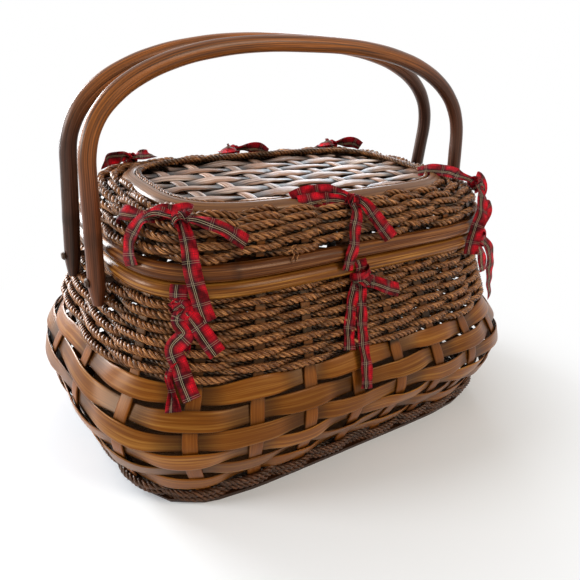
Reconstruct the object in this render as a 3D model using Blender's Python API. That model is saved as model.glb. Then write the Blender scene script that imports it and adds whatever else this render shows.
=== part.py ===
"""Picnic basket of woven rattan and willow, with a hinged lid and two swinging pole handles.

Metres, +Z up. The origin is the middle of the underside, X runs along the basket, and the
front is on -Y. The body, the lid and each handle are separate moving assemblies.
"""

import math

import bmesh
import bpy
import numpy as np
from mathutils import Matrix, Vector

# General clearances
seat_gap = 0.0003
running_gap = 0.0005
cut_overrun = 0.002

# Rim of the basket: two round rods, one on the body and one on the lid
rim_half_length = 0.220
rim_half_width = 0.1377
rim_power_x = 5.7
rim_power_y = 3.4
rim_rod_radius = 0.008

# Body walls at the middle of the upright stakes: how far they stand out from the rim at each level
belt_foot_height = 0.026
belt_height = 0.114
belly_share = 0.605
neck_rise = 0.0694
foot_outset_x = 0.0055
foot_outset_y = 0.0118
belt_foot_outset_x = 0.0235
belt_foot_outset_y = 0.0228
belly_outset_x = 0.0480
belly_outset_y = 0.0488
belt_top_outset_x = 0.0270
belt_top_outset_y = 0.0298
neck_inset_x = 0.0045
neck_inset_y = 0.0042
body_powers = ((6.5, 4.2), (5.6, 3.8), (4.3, 3.2), (3.9, 3.0), (5.5, 3.3))
belt_top_height = belt_foot_height + belt_height
belt_top_half_length = rim_half_length + belt_top_outset_x
belt_top_half_width = rim_half_width + belt_top_outset_y
neck_height = belt_top_height + neck_rise
neck_half_length = rim_half_length - neck_inset_x
neck_half_width = rim_half_width - neck_inset_y
body_rim_height = neck_height + rim_rod_radius + 2 * seat_gap

# Upright stakes
stake_width = 0.014
stake_thickness = 0.0024
front_stake_pitch = 0.054
end_stake_pitch = 0.070
stakes_per_long_side = 8
stakes_per_end = 4

# Belt of wide flat strips, woven over and under the stakes
belt_rows = 6
strip_thickness = 0.002
strip_row_gap = 0.0007

# Twisted rope rows
rope_diameter = 0.0058
bead_depth_share = 0.24
rope_gap = 0.0007
foot_rope_rows = 4
body_rope_rows = 13
lid_rope_rows = 10

# Base
base_thickness = 0.006
base_edge_gap = 0.0007
base_hoop_height = 0.0065
base_hoop_width = 0.0055

# Flat hoop inside the neck, which takes the handle pins
inner_hoop_height = 0.0125
inner_hoop_thickness = 0.003

# Lid: outer faces of the rope wall, from the rim up and in to the cane band
lid_shoulder_inset_x = 0.0140
lid_shoulder_inset_y = 0.0099
lid_shoulder_rise = 0.0275
lid_band_rise = 0.0352
lid_lower_share = 0.45
lid_slope_share = 0.48
lid_slope_height_share = 0.667
band_inset_x = 0.0315
band_inset_y = 0.0303
lid_shoulder_half_length = rim_half_length - lid_shoulder_inset_x
lid_shoulder_half_width = rim_half_width - lid_shoulder_inset_y
band_half_length = lid_shoulder_half_length - band_inset_x
band_half_width = lid_shoulder_half_width - band_inset_y
band_power_x = 4.4
band_power_y = 3.4
band_width = 0.0095
band_thickness = 0.004
band_crown_share = 1.3
border_rope_radius = 0.003
border_rope_sides = 6
lid_wall_thickness = 0.0055
lid_inner_shares = (1.0, 0.75, 0.6, 0.45, 0.0)

# Lid panel of flat willow strips over cross stakes
panel_rows = 8
panel_row_gap = 0.001
panel_strip_thickness = 0.0018
cross_stakes = 7
cross_stake_pitch = 0.044
cross_stake_width = 0.012
cross_stake_thickness = 0.002
panel_ring_width = 0.012
panel_ring_extra = 0.0002

# Handles: one bent pole each, set out from the rim and from the pegs that it swings on
pin_drop = 0.013
handle_outset = 0.0185
handle_shoulder_inset = 0.0026
handle_shoulder_rise = 0.0970
handle_crown_rise = 0.2104
handle_foot_drop = 0.013
pin_height = body_rim_height - pin_drop
handle_half_span = rim_half_length + handle_outset
handle_shoulder_half_span = handle_half_span - handle_shoulder_inset
handle_shoulder_height = pin_height + handle_shoulder_rise
handle_crown_height = pin_height + handle_crown_rise
handle_foot_height = pin_height - handle_foot_drop
handle_arch_power = 2.435
handle_foot_spread = 0.0395
handle_lean = 0.085
handle_radius = 0.0081
handle_tip_length = 0.010
handle_tip_share = 0.62

# Pegs that the handles swing on
pin_radius = 0.003
pin_head_radius = 0.0048
pin_head_thickness = 0.002
pin_crown_share = 0.62

# Cane loops that hinge the lid at the back
hinge_loop_offset = 0.100
hinge_loop_width = 0.008
hinge_loop_thickness = 0.0019
hinge_loop_gap = 0.0008

# Ribbon ties
ribbon_width = 0.016
ribbon_thickness = 0.0012
ribbon_knot_width = 0.011
ribbon_knot_thickness = 0.0062
body_tail_drop = 0.100
body_knot_drop = 0.015
lid_tie_top_share = 0.93
lid_tie_knot_share = 0.62
knot_reach_share = 0.16
body_tie_angles = (0.9, 0.45, 0.0, -0.45)
lid_tie_angles = (0.5, 0.0, -0.4)
front_tie_share = -0.86
middle_tie_share = -0.045
rear_tie_share = 0.68
end_tie_share = -0.62

# Mesh fineness: counts, and the angle that shading keeps sharp
sharp_degrees = 40
turn_step = 1e-3
ring_sections = 36
rod_sections = 40
rod_sides = 8
handle_sections = 36
handle_leg_sections = 4
pin_sides = 12
loop_sections = 20
tie_sections = 12

rope_colour = (0.42, 0.24, 0.13)
rod_colour = (0.52, 0.29, 0.10)
lid_rod_colour = (0.42, 0.20, 0.08)
strip_colour = (0.55, 0.34, 0.15)
stake_colour = (0.46, 0.27, 0.12)
panel_colour = (0.70, 0.52, 0.38)
handle_colour = (0.34, 0.17, 0.08)
dark_handle_colour = (0.17, 0.10, 0.08)
board_colour = (0.50, 0.36, 0.22)
ribbon_colour = (0.50, 0.05, 0.09)


def clear_scene():
    for item in list(bpy.data.objects):
        bpy.data.objects.remove(item, do_unlink=True)


def make_material(name, colour, roughness):
    found = bpy.data.materials.get(name)
    if found:
        return found
    made = bpy.data.materials.new(name)
    made.use_nodes = True
    shader = made.node_tree.nodes["Principled BSDF"]
    shader.inputs["Base Color"].default_value = (*colour, 1)
    shader.inputs["Roughness"].default_value = roughness
    shader.inputs["Metallic"].default_value = 0
    return made


def add_object(name, points, faces, material, parent=None, smooth=True):
    """One named object from points and faces, with its faces turned outwards."""
    mesh = bpy.data.meshes.new(name)
    mesh.from_pydata([tuple(point) for point in points], [], faces)
    shape = bmesh.new()
    shape.from_mesh(mesh)
    bmesh.ops.recalc_face_normals(shape, faces=shape.faces)
    if shape.calc_volume(signed=True) < 0:
        bmesh.ops.reverse_faces(shape, faces=shape.faces)
    shape.to_mesh(mesh)
    shape.free()
    mesh.materials.append(material)
    if smooth:
        mesh.shade_smooth()
        mesh.set_sharp_from_angle(angle=math.radians(sharp_degrees))
    item = bpy.data.objects.new(name, mesh)
    bpy.context.scene.collection.objects.link(item)
    if parent:
        item.parent = parent
        item.matrix_parent_inverse = Matrix.Translation(-parent.location)
    return item


def add_pivot(name, place):
    """An empty on a joint's axis, which carries that joint's pieces."""
    pivot = bpy.data.objects.new(name, None)
    pivot.location = place
    bpy.context.scene.collection.objects.link(pivot)
    return pivot


def add_cutter(name, points, faces):
    cutter = add_object(name, points, faces, make_material("cutter", (1, 0, 0), 1), smooth=False)
    cutter.hide_render = True
    cutter.display_type = "WIRE"
    return cutter


def cut_away(item, cutter):
    step = item.modifiers.new("cut " + cutter.name, "BOOLEAN")
    step.operation = "DIFFERENCE"
    step.solver = "EXACT"
    step.object = cutter


def join_with(item, other):
    step = item.modifiers.new("join " + other.name, "BOOLEAN")
    step.operation = "UNION"
    step.solver = "EXACT"
    step.object = other


def closed_loft(sections):
    """Points and faces of a ring-shaped loft: each section is a closed loop, and the last meets the first."""
    count = len(sections)
    sides = len(sections[0])
    points = [point for section in sections for point in section]
    faces = []
    for i in range(count):
        after = (i + 1) % count
        for j in range(sides):
            beside = (j + 1) % sides
            faces.append((i * sides + j, after * sides + j, after * sides + beside, i * sides + beside))
    return points, faces


def open_loft(sections):
    """Points and faces of a loft with a cap on each end."""
    count = len(sections)
    sides = len(sections[0])
    points = [point for section in sections for point in section]
    faces = []
    for i in range(count - 1):
        for j in range(sides):
            beside = (j + 1) % sides
            faces.append((i * sides + j, (i + 1) * sides + j, (i + 1) * sides + beside, i * sides + beside))
    faces.append(tuple(range(sides)))
    faces.append(tuple(reversed(range((count - 1) * sides, count * sides))))
    return points, faces


def box_points(low, high):
    """Points and faces of a box between two corners."""
    points = [(x, y, z) for z in (low[2], high[2]) for x, y in
              ((low[0], low[1]), (high[0], low[1]), (high[0], high[1]), (low[0], high[1]))]
    faces = [(0, 3, 2, 1), (4, 5, 6, 7), (0, 1, 5, 4), (1, 2, 6, 5), (2, 3, 7, 6), (3, 0, 4, 7)]
    return points, faces


def round_rect(half_length, half_width, power_x, power_y, turn):
    """A point of the basket's outline, a rectangle with full round corners and bowed sides."""
    x = half_length * math.copysign(abs(math.cos(turn)) ** (2 / power_x), math.cos(turn))
    y = half_width * math.copysign(abs(math.sin(turn)) ** (2 / power_y), math.sin(turn))
    return Vector((x, y, 0))


def half_length_at(half_length, half_width, power_x, power_y, y):
    """How far the outline reaches along X at a given Y."""
    left = max(0.0, 1 - (abs(y) / half_width) ** power_y)
    return half_length * left ** (1 / power_x)


def half_width_at(half_length, half_width, power_x, power_y, x):
    left = max(0.0, 1 - (abs(x) / half_length) ** power_x)
    return half_width * left ** (1 / power_y)


class Wall:
    """A wall lofted through level outlines; a share of 0 is its lowest level and 1 its highest."""

    def __init__(self, levels):
        self.rows = np.array(levels, dtype=float)
        steps = np.hypot(np.diff(self.rows[:, 0]), np.diff(self.rows[:, 1]))
        self.shares = np.concatenate([[0], np.cumsum(steps)]) / steps.sum()
        self.slopes = np.gradient(self.rows, self.shares, axis=0)

    def level(self, share):
        """Height, half length, half width and the two powers of the outline at a share."""
        i = int(np.clip(np.searchsorted(self.shares, share) - 1, 0, len(self.shares) - 2))
        span = self.shares[i + 1] - self.shares[i]
        u = (share - self.shares[i]) / span
        start = (2 * u**3 - 3 * u**2 + 1) * self.rows[i] + (u**3 - 2 * u**2 + u) * span * self.slopes[i]
        end = (3 * u**2 - 2 * u**3) * self.rows[i + 1] + (u**3 - u**2) * span * self.slopes[i + 1]
        return start + end

    def share_at(self, height):
        """The share at which the wall reaches a height."""
        low, high = 0.0, 1.0
        for _ in range(40):
            middle = (low + high) / 2
            if self.level(middle)[0] < height:
                low = middle
            else:
                high = middle
        return (low + high) / 2

    def base_point(self, share, turn):
        z, half_length, half_width, power_x, power_y = self.level(share)
        point = round_rect(half_length, half_width, power_x, power_y, turn)
        point.z = z
        return point

    def turn_of(self, spot, share):
        """The turn of a spot at a share; a spot is a plain turn or a line that follows the outline."""
        return spot.turn(*self.level(share)[3:]) if hasattr(spot, "turn") else spot

    def axes(self, share, spot):
        """Place, direction round the basket, outward normal and direction up the wall."""
        small = turn_step
        turn = self.turn_of(spot, share)
        place = self.base_point(share, turn)
        around = (self.base_point(share, turn + small) - self.base_point(share, turn - small)).normalized()
        up = (self.base_point(share + small, turn) - self.base_point(share - small, turn)).normalized()
        normal = around.cross(up).normalized()
        return place, around, normal, normal.cross(around)

    def point(self, share, spot, outward=0.0, sideways=0.0, levelled=0.0):
        """A point off the wall; levelled turns the way outwards from square to the wall to level."""
        place, around, normal, _ = self.axes(share, spot)
        normal.z *= 1 - levelled
        return place + around * sideways + normal.normalized() * outward


class Line:
    """A line up the wall at a fixed share of the outline's half length, or of its half width."""

    def __init__(self, along_length, part, x_sign, y_sign):
        self.along_length = along_length
        self.part = part
        self.x_sign = x_sign
        self.y_sign = y_sign

    def turn(self, power_x, power_y):
        if self.along_length:
            quarter = math.acos(self.part ** (power_x / 2))
        else:
            quarter = math.asin(self.part ** (power_y / 2))
        half = quarter if self.x_sign > 0 else math.pi - quarter
        return half if self.y_sign > 0 else 2 * math.pi - half


class MiddleLine:
    """The line half way between two lines, in the order that they follow each other."""

    def __init__(self, first, second):
        self.first = first
        self.second = second

    def turn(self, power_x, power_y):
        start = self.first.turn(power_x, power_y)
        end = self.second.turn(power_x, power_y)
        return (start + end + (2 * math.pi if end < start else 0)) / 2


def body_wall():
    """The body's wall, from the floor up to the neck just under the rim rod."""
    outsets = (
        (0, foot_outset_x, foot_outset_y),
        (belt_foot_height, belt_foot_outset_x, belt_foot_outset_y),
        (belt_foot_height + belt_height * belly_share, belly_outset_x, belly_outset_y),
        (belt_top_height, belt_top_outset_x, belt_top_outset_y),
        (neck_height, -neck_inset_x, -neck_inset_y),
    )
    return Wall([(height, rim_half_length + x, rim_half_width + y, *powers)
                 for (height, x, y), powers in zip(outsets, body_powers)])


def lid_rim_height():
    return body_rim_height + 2 * rim_rod_radius + seat_gap


def lid_wall():
    """Outer face of the lid's rope wall: up from the rim, over the shoulder and in to the cane band."""
    foot = lid_rim_height() + rim_rod_radius + 2 * seat_gap
    outer_length = band_half_length + band_width / 2 + running_gap
    outer_width = band_half_width + band_width / 2 + running_gap
    top = lid_rim_height() + rim_rod_radius + lid_band_rise
    shoulder = foot + lid_shoulder_rise
    lower = lid_lower_share * lid_lower_share
    slope = lid_slope_share
    return Wall([
        (foot, rim_half_length - seat_gap, rim_half_width - seat_gap, rim_power_x, rim_power_y),
        (foot + (shoulder - foot) * lid_lower_share,
         rim_half_length + (lid_shoulder_half_length - rim_half_length) * lower,
         rim_half_width + (lid_shoulder_half_width - rim_half_width) * lower,
         rim_power_x, rim_power_y),
        (shoulder, lid_shoulder_half_length, lid_shoulder_half_width, rim_power_x, rim_power_y),
        (shoulder + (top - shoulder) * lid_slope_height_share,
         lid_shoulder_half_length + (outer_length - lid_shoulder_half_length) * slope,
         lid_shoulder_half_width + (outer_width - lid_shoulder_half_width) * slope,
         (rim_power_x + band_power_x) / 2, (rim_power_y + band_power_y) / 2),
        (top, outer_length, outer_width, band_power_x, band_power_y),
    ])


def stake_lines():
    """The line of each stake up the wall, in order round the basket."""
    quarter = [(False, (i + 0.5) * end_stake_pitch / belt_top_half_width) for i in range(stakes_per_end // 2)]
    quarter += [(True, (i + 0.5) * front_stake_pitch / belt_top_half_length)
                for i in reversed(range(stakes_per_long_side // 2))]
    lines = []
    for x_sign, y_sign in ((1, 1), (-1, 1), (-1, -1), (1, -1)):
        order = quarter if x_sign == y_sign else list(reversed(quarter))
        lines += [Line(along_length, part, x_sign, y_sign) for along_length, part in order]
    return lines


def wall_stations():
    """Stations round the body: both edges of each stake, and a middle where the wall bends between two.

    Each is a line, a sideways distance and the numbers of the stakes beside it.
    """
    lines = stake_lines()
    reach = stake_width / 2 + seat_gap
    stations = []
    for i, line in enumerate(lines):
        after = (i + 1) % len(lines)
        stations += [(line, -reach, (i, i)), (line, reach, (i, i))]
        if not (line.along_length and lines[after].along_length):
            stations.append((MiddleLine(line, lines[after]), 0.0, (i, after)))
    return stations


def even_turns(count):
    return [2 * math.pi * i / count for i in range(count)]


def rope_profile(first, last, rows, outer):
    """Shares and outward offsets of stacked rope rows, one crest a row with a groove between rows."""
    groove = outer - rope_diameter * bead_depth_share
    step = (last - first) / rows
    profile = [(first, groove)]
    for row in range(rows):
        profile.append((first + (row + 0.5) * step, outer))
        profile.append((first + (row + 1) * step, groove))
    return profile


def add_wall_ring(name, wall, profile, material, parent=None, stations=None):
    """A ring whose section is a loop of shares and outward distances on a wall."""
    sections = []
    for spot, sideways, _ in stations or [(turn, 0.0, None) for turn in even_turns(ring_sections)]:
        sections.append([wall.point(share, spot, outward, sideways, more[0] if more else 0.0)
                         for share, outward, *more in profile])
    points, faces = closed_loft(sections)
    return add_object(name, points, faces, material, parent)


def add_outline_ring(name, sizes, powers, section, material, parent=None, count=ring_sections):
    """A ring round a level outline; each section point is an outward and an upward distance."""
    half_length, half_width, height = sizes
    sections = []
    small = turn_step
    for turn in even_turns(count):
        place = round_rect(half_length, half_width, *powers, turn)
        around = round_rect(half_length, half_width, *powers, turn + small)
        around -= round_rect(half_length, half_width, *powers, turn - small)
        normal = Vector((around.y, -around.x, 0)).normalized()
        sections.append([place + normal * out + Vector((0, 0, height + up)) for out, up in section])
    points, faces = closed_loft(sections)
    return add_object(name, points, faces, material, parent)


def circle_section(radius, sides):
    turns = [2 * math.pi * (i + 0.5) / sides for i in range(sides)]
    return [(radius * math.cos(turn), radius * math.sin(turn)) for turn in turns]


def flat_section(width, thickness):
    half_width, half_thickness = width / 2, thickness / 2
    return [(half_width, -half_thickness), (half_width, half_thickness),
            (-half_width, half_thickness), (-half_width, -half_thickness)]


def add_base_board(wall):
    """The board that closes the bottom, inside the band that the stakes rise from."""
    inset = -(stake_thickness / 2 + base_edge_gap)
    low = [wall.point(0.0, spot, inset, sideways, 1.0) for spot, sideways, _ in wall_stations()]
    high = [point + Vector((0, 0, base_thickness)) for point in low]
    points, faces = open_loft([low, high])
    return add_object("base_board", points, faces, make_material("board", board_colour, 0.8))


def add_base_hoop(wall):
    """The smooth hoop round the very bottom, outside the stakes."""
    inner = stake_thickness / 2 + running_gap
    outer = inner + base_hoop_width
    top = wall.share_at(base_hoop_height)
    profile = [(0.0, outer, 1.0), (top, outer, 1.0), (top, inner, 1.0), (0.0, inner, 1.0)]
    material = make_material("board", board_colour, 0.8)
    add_wall_ring("base_hoop", wall, profile, material, stations=wall_stations())


def rope_offsets():
    """Inner and outer offsets of a rope wall from the middle of the stakes."""
    inner = stake_thickness / 2 + rope_gap
    return inner, inner + rope_diameter


def belt_shares(wall):
    return wall.share_at(belt_foot_height), wall.share_at(belt_top_height)


def wall_clearance_share(wall, distance):
    """A small distance along the wall, as a share of its length."""
    lengths = np.hypot(np.diff(wall.rows[:, 0]), np.diff(wall.rows[:, 1]))
    return distance / lengths.sum()


def neck_shares(wall):
    """Levels that the stakes, the rope wall and the inner hoop share above the belt."""
    belt_high = belt_shares(wall)[1]
    hoop_low = 1 - wall_clearance_share(wall, inner_hoop_height)
    return [belt_high, (belt_high + hoop_low) / 2, hoop_low, 1.0]


def add_rope_walls(wall):
    material = make_material("rope", rope_colour, 0.75)
    inner, outer = rope_offsets()
    belt_low, belt_high = belt_shares(wall)
    gap = wall_clearance_share(wall, strip_row_gap)

    foot_start = wall.share_at(base_hoop_height + seat_gap) + gap
    foot_end = belt_low - gap
    foot = rope_profile(foot_start, foot_end, foot_rope_rows, outer)
    foot += [(foot_end, inner), (foot_start, inner)]
    foot = [(share, out, (foot_end - share) / (foot_end - foot_start)) for share, out in foot]
    add_wall_ring("foot_rope_wall", wall, foot, material, stations=wall_stations())

    body_start = belt_high + gap
    body = rope_profile(body_start, 1, body_rope_rows, outer)
    body += [(share, inner) for share in reversed(neck_shares(wall)[1:])]
    body.append((body_start, inner))
    body = [(share, out, (share - body_start) / (1 - body_start)) for share, out in body]
    return add_wall_ring("body_rope_wall", wall, body, material, stations=wall_stations())


def belt_levels(wall):
    belt_low, belt_high = belt_shares(wall)
    return list(np.linspace(belt_low, belt_high, belt_rows + 1))


def add_stake_frame(wall):
    """Upright stakes that rise from one band nailed round the base board."""
    stations = wall_stations()
    half_thickness = stake_thickness / 2
    shares = belt_levels(wall) + neck_shares(wall)[1:]
    narrower = (stake_width / 2) / (stake_width / 2 + seat_gap)
    band = ((0.0, half_thickness, 1.0), (shares[0], half_thickness, 0.0),
            (shares[0], -half_thickness, 0.0), (0.0, -half_thickness, 1.0))
    sections = []
    for spot, sideways, _ in stations:
        sections.append([wall.point(share, spot, outward, sideways * narrower, levelled)
                         for share, outward, levelled in band])
    points, faces = closed_loft(sections)
    tops = []
    for i, (spot, sideways, _) in enumerate(stations):
        if sideways >= 0:
            continue
        faces.remove((4 * i + 1, 4 * (i + 1) + 1, 4 * (i + 1) + 2, 4 * i + 2))
        below = [4 * i + 1, 4 * (i + 1) + 1, 4 * (i + 1) + 2, 4 * i + 2]
        for share in shares[1:]:
            start = len(points)
            points += [wall.point(share, spot, outward, side * narrower) for outward, side in
                       ((half_thickness, sideways), (half_thickness, -sideways),
                        (-half_thickness, -sideways), (-half_thickness, sideways))]
            above = [start, start + 1, start + 2, start + 3]
            for j in range(4):
                beside = (j + 1) % 4
                faces.append((below[j], below[beside], above[beside], above[j]))
            below = above
        tops.append(tuple(below))
    faces += tops
    return add_object("stake_frame", points, faces, make_material("stakes", stake_colour, 0.6), smooth=False)


def add_belt_strips(wall):
    """Wide flat strips, each a closed ring that runs over one stake and under the next."""
    levels = belt_levels(wall)
    edge = wall_clearance_share(wall, strip_row_gap) / 2
    lift = (stake_thickness + strip_thickness) / 2 + seat_gap
    half_thickness = strip_thickness / 2
    material = make_material("strips", strip_colour, 0.55)
    for row in range(belt_rows):
        low, high = levels[row] + edge, levels[row + 1] - edge
        sections = []
        for spot, sideways, beside in wall_stations():
            offset = sum(lift if (stake + row) % 2 == 0 else -lift for stake in beside) / 2
            sections.append([wall.point(share, spot, offset + side, sideways) for share, side in
                             ((low, half_thickness), (high, half_thickness),
                              (high, -half_thickness), (low, -half_thickness))])
        points, faces = closed_loft(sections)
        add_object(f"belt_strip_{row + 1}", points, faces, material)


def add_inner_hoop(wall):
    """Flat hoop inside the stakes, under the rim, that the handle pins are driven into."""
    outer = -(stake_thickness / 2 + seat_gap)
    inner = outer - inner_hoop_thickness
    low = neck_shares(wall)[2]
    profile = [(low, outer), (1.0, outer), (1.0, inner), (low, inner)]
    material = make_material("stakes", stake_colour, 0.6)
    return add_wall_ring("inner_hoop", wall, profile, material, stations=wall_stations())


def add_rim_rod(name, height, colour, parent=None):
    sizes = (rim_half_length, rim_half_width, height)
    section = circle_section(rim_rod_radius, rod_sides)
    material = make_material(name, colour, 0.4)
    add_outline_ring(name, sizes, (rim_power_x, rim_power_y), section, material, parent, rod_sections)


def handle_path(side):
    """Middle line of one handle, from its left foot over the crown to its right foot."""
    path = []
    legs = handle_leg_sections
    for i in range(legs):
        share = i / legs
        z = handle_foot_height + (handle_shoulder_height - handle_foot_height) * share
        x = handle_half_span + (handle_shoulder_half_span - handle_half_span) * share
        path.append((-x, z))
    arch = handle_sections - 2 * legs
    rise = handle_crown_height - handle_shoulder_height
    for i in range(arch + 1):
        turn = math.pi * (1 - i / arch)
        reach = abs(math.cos(turn)) ** (2 / handle_arch_power)
        x = handle_shoulder_half_span * math.copysign(reach, math.cos(turn))
        path.append((x, handle_shoulder_height + rise * math.sin(turn) ** (2 / handle_arch_power)))
    path += [(-x, z) for x, z in reversed(path[:legs])]
    placed = []
    for x, z in path:
        spread = handle_foot_spread - handle_lean * (z - handle_foot_height)
        placed.append(Vector((x, side * spread, z)))
    return placed


def tube_sections(path, radii, sides, fixed):
    """Sections of a tube along a path that stays near one plane; fixed is that plane's normal."""
    sections = []
    for i, place in enumerate(path):
        ahead = path[min(i + 1, len(path) - 1)] - path[max(i - 1, 0)]
        across = ahead.cross(fixed).normalized()
        beside = across.cross(ahead).normalized()
        section = []
        for j in range(sides):
            turn = 2 * math.pi * (j + 0.5) / sides
            section.append(place + (across * math.cos(turn) + beside * math.sin(turn)) * radii[i])
        sections.append(section)
    return sections


def add_handle(name, side, colour):
    """A bent pole with thinned tips and a bore through each foot for its pin."""
    pivot = add_pivot(name + "_pivot", (0, pin_spread(side), pin_height))
    path = handle_path(side)
    down = (path[0] - path[1]).normalized()
    for end, away in ((0, down), (-1, (path[-1] - path[-2]).normalized())):
        path[end] = path[end] - away * handle_tip_length
    path = [path[0] + down * handle_tip_length] + path
    path = path + [path[-1] + (path[-1] - path[-2]).normalized() * handle_tip_length]
    radii = [handle_radius] * len(path)
    radii[0] = handle_radius * handle_tip_share
    radii[-1] = handle_radius * handle_tip_share
    fixed = Vector((0, 1, side * handle_lean)).normalized()
    sections = tube_sections(path, radii, rod_sides, fixed)
    points, faces = open_loft(sections)
    item = add_object(name, points, faces, make_material(name, colour, 0.5), pivot)
    for end in (-1, 1):
        reach = handle_radius + cut_overrun
        cutter = add_rod_cutter(f"{name}_bore_{'left' if end < 0 else 'right'}", end,
                                pin_spread(side), handle_half_span - reach,
                                handle_half_span + reach, pin_radius + running_gap)
        cut_away(item, cutter)
    return item


def pin_spread(side):
    return side * (handle_foot_spread - handle_lean * (pin_height - handle_foot_height))


def pin_sections(end, y, steps):
    """Round sections along X on the left or right end of the basket, one for each distance and radius."""
    sections = []
    for x, radius in steps:
        sections.append([Vector((end * x, y + across, pin_height + up))
                         for across, up in circle_section(radius, pin_sides)])
    return sections


def add_rod_cutter(name, end, y, inner, outer, radius):
    points, faces = open_loft(pin_sections(end, y, ((inner, radius), (outer, radius))))
    return add_cutter(name, points, faces)


def add_pins(rope_wall, hoop):
    """Four pegs through the handle feet and the rope wall into the inner hoop."""
    material = make_material("pegs", dark_handle_colour, 0.5)
    root = neck_half_length - stake_thickness / 2 - inner_hoop_thickness
    head_start = handle_half_span + handle_radius + running_gap
    steps = ((root, pin_radius), (head_start, pin_radius), (head_start, pin_head_radius),
             (head_start + pin_head_thickness, pin_head_radius * pin_crown_share))
    for side, side_name in ((-1, "front"), (1, "rear")):
        for end, end_name in ((-1, "left"), (1, "right")):
            y = pin_spread(side)
            name = f"{side_name}_{end_name}_handle_pin"
            points, faces = open_loft(pin_sections(end, y, steps))
            add_object(name, points, faces, material)
            reach = neck_half_length + rope_diameter * 2
            cutter = add_rod_cutter(name + "_hole", end, y, root - cut_overrun, reach, pin_radius + seat_gap)
            cut_away(rope_wall, cutter)
            cut_away(hoop, cutter)


def hinge_loop_places():
    y = half_width_at(rim_half_length, rim_half_width, rim_power_x, rim_power_y, hinge_loop_offset)
    return [(-hinge_loop_offset, y), (hinge_loop_offset, y)]


def add_hinge_loops(body_wall_item, lid_wall_item):
    """Two cane loops lashed round both rim rods; the lid's rod turns inside them."""
    material = make_material("cane", rod_colour, 0.5)
    inner = rim_rod_radius + hinge_loop_gap
    outer = inner + hinge_loop_thickness
    half = hinge_loop_width / 2
    low_z, high_z = body_rim_height, lid_rim_height()
    for (x, y), name in zip(hinge_loop_places(), ("left_hinge_loop", "right_hinge_loop")):
        sections = []
        for i in range(loop_sections):
            turn = 2 * math.pi * (i + 0.5) / loop_sections
            centre = high_z if math.sin(turn) > 0 else low_z
            direction = Vector((0, math.cos(turn), math.sin(turn)))
            centre = Vector((x, y, centre))
            flat = Vector((half, 0, 0))
            sections.append([centre + direction * inner - flat, centre + direction * inner + flat,
                             centre + direction * outer + flat, centre + direction * outer - flat])
        points, faces = closed_loft(sections)
        add_object(name, points, faces, material)
        width = half + running_gap
        depth = outer + cut_overrun
        points, faces = box_points((x - width, y - depth, low_z - outer - running_gap),
                                   (x + width, y + depth, low_z))
        cut_away(body_wall_item, add_cutter(name + "_body_notch", points, faces))
        points, faces = box_points((x - width, y - depth, high_z),
                                   (x + width, y + depth, high_z + outer + 2 * running_gap))
        cut_away(lid_wall_item, add_cutter(name + "_lid_notch", points, faces))


def add_lid_rope_wall(wall, pivot):
    profile = rope_profile(0, 1, lid_rope_rows, 0)
    profile += [(share, -lid_wall_thickness) for share in lid_inner_shares]
    return add_wall_ring("lid_rope_wall", wall, profile, make_material("rope", rope_colour, 0.75), pivot)


def lid_top_height():
    return lid_rim_height() + rim_rod_radius + lid_band_rise


def cross_stake_height():
    """Middle of the cross stakes: the strips above them pass under the border rope."""
    return lid_top_height() - band_thickness / 2 - cross_stake_thickness - panel_strip_thickness


def add_lid_trim(pivot):
    """Flat cane band round the lid's top, and the rope that borders the panel inside it."""
    top = lid_top_height()
    sizes = (band_half_length, band_half_width, top)
    powers = (band_power_x, band_power_y)
    half_width, half_thickness = band_width / 2, band_thickness / 2
    crown = half_thickness * band_crown_share
    section = [(half_width, -half_thickness), (half_width, half_thickness / 2), (0, crown),
               (-half_width, half_thickness / 2), (-half_width, -half_thickness)]
    add_outline_ring("lid_cane_band", sizes, powers, section, make_material("cane", rod_colour, 0.5), pivot)

    rope_inset = half_width + seat_gap + border_rope_radius
    strip_top = cross_stake_height() + cross_stake_thickness / 2 + seat_gap + panel_strip_thickness
    height = strip_top + seat_gap + border_rope_radius
    sizes = (band_half_length - rope_inset, band_half_width - rope_inset, height)
    section = circle_section(border_rope_radius, border_rope_sides)
    material = make_material("rope", rope_colour, 0.75)
    add_outline_ring("lid_border_rope", sizes, powers, section, material, pivot)


def panel_inner_sizes():
    """Half sizes of the panel ring's outer edge, tucked under the cane band."""
    return band_half_length + band_width / 4, band_half_width + band_width / 4


def add_panel_frame(pivot):
    """Ring under the cane band with the cross stakes fused to it."""
    material = make_material("stakes", stake_colour, 0.6)
    outer_length, outer_width = panel_inner_sizes()
    thickness = cross_stake_thickness + 2 * panel_ring_extra
    section = [(out - panel_ring_width / 2, up) for out, up in flat_section(panel_ring_width, thickness)]
    sizes = (outer_length, outer_width, cross_stake_height())
    frame = add_outline_ring("panel_frame", sizes, (band_power_x, band_power_y), section, material, pivot)
    for i in range(cross_stakes):
        x = (i - (cross_stakes - 1) / 2) * cross_stake_pitch
        reach = half_width_at(outer_length, outer_width, band_power_x, band_power_y,
                              abs(x) + cross_stake_width) - panel_ring_width / 2
        low = (x - cross_stake_width / 2, -reach, cross_stake_height() - cross_stake_thickness / 2)
        high = (x + cross_stake_width / 2, reach, cross_stake_height() + cross_stake_thickness / 2)
        bar = add_object(f"cross_stake_{i + 1}", *box_points(low, high), material, smooth=False)
        bar.hide_render = True
        bar.display_type = "WIRE"
        join_with(frame, bar)


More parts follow.
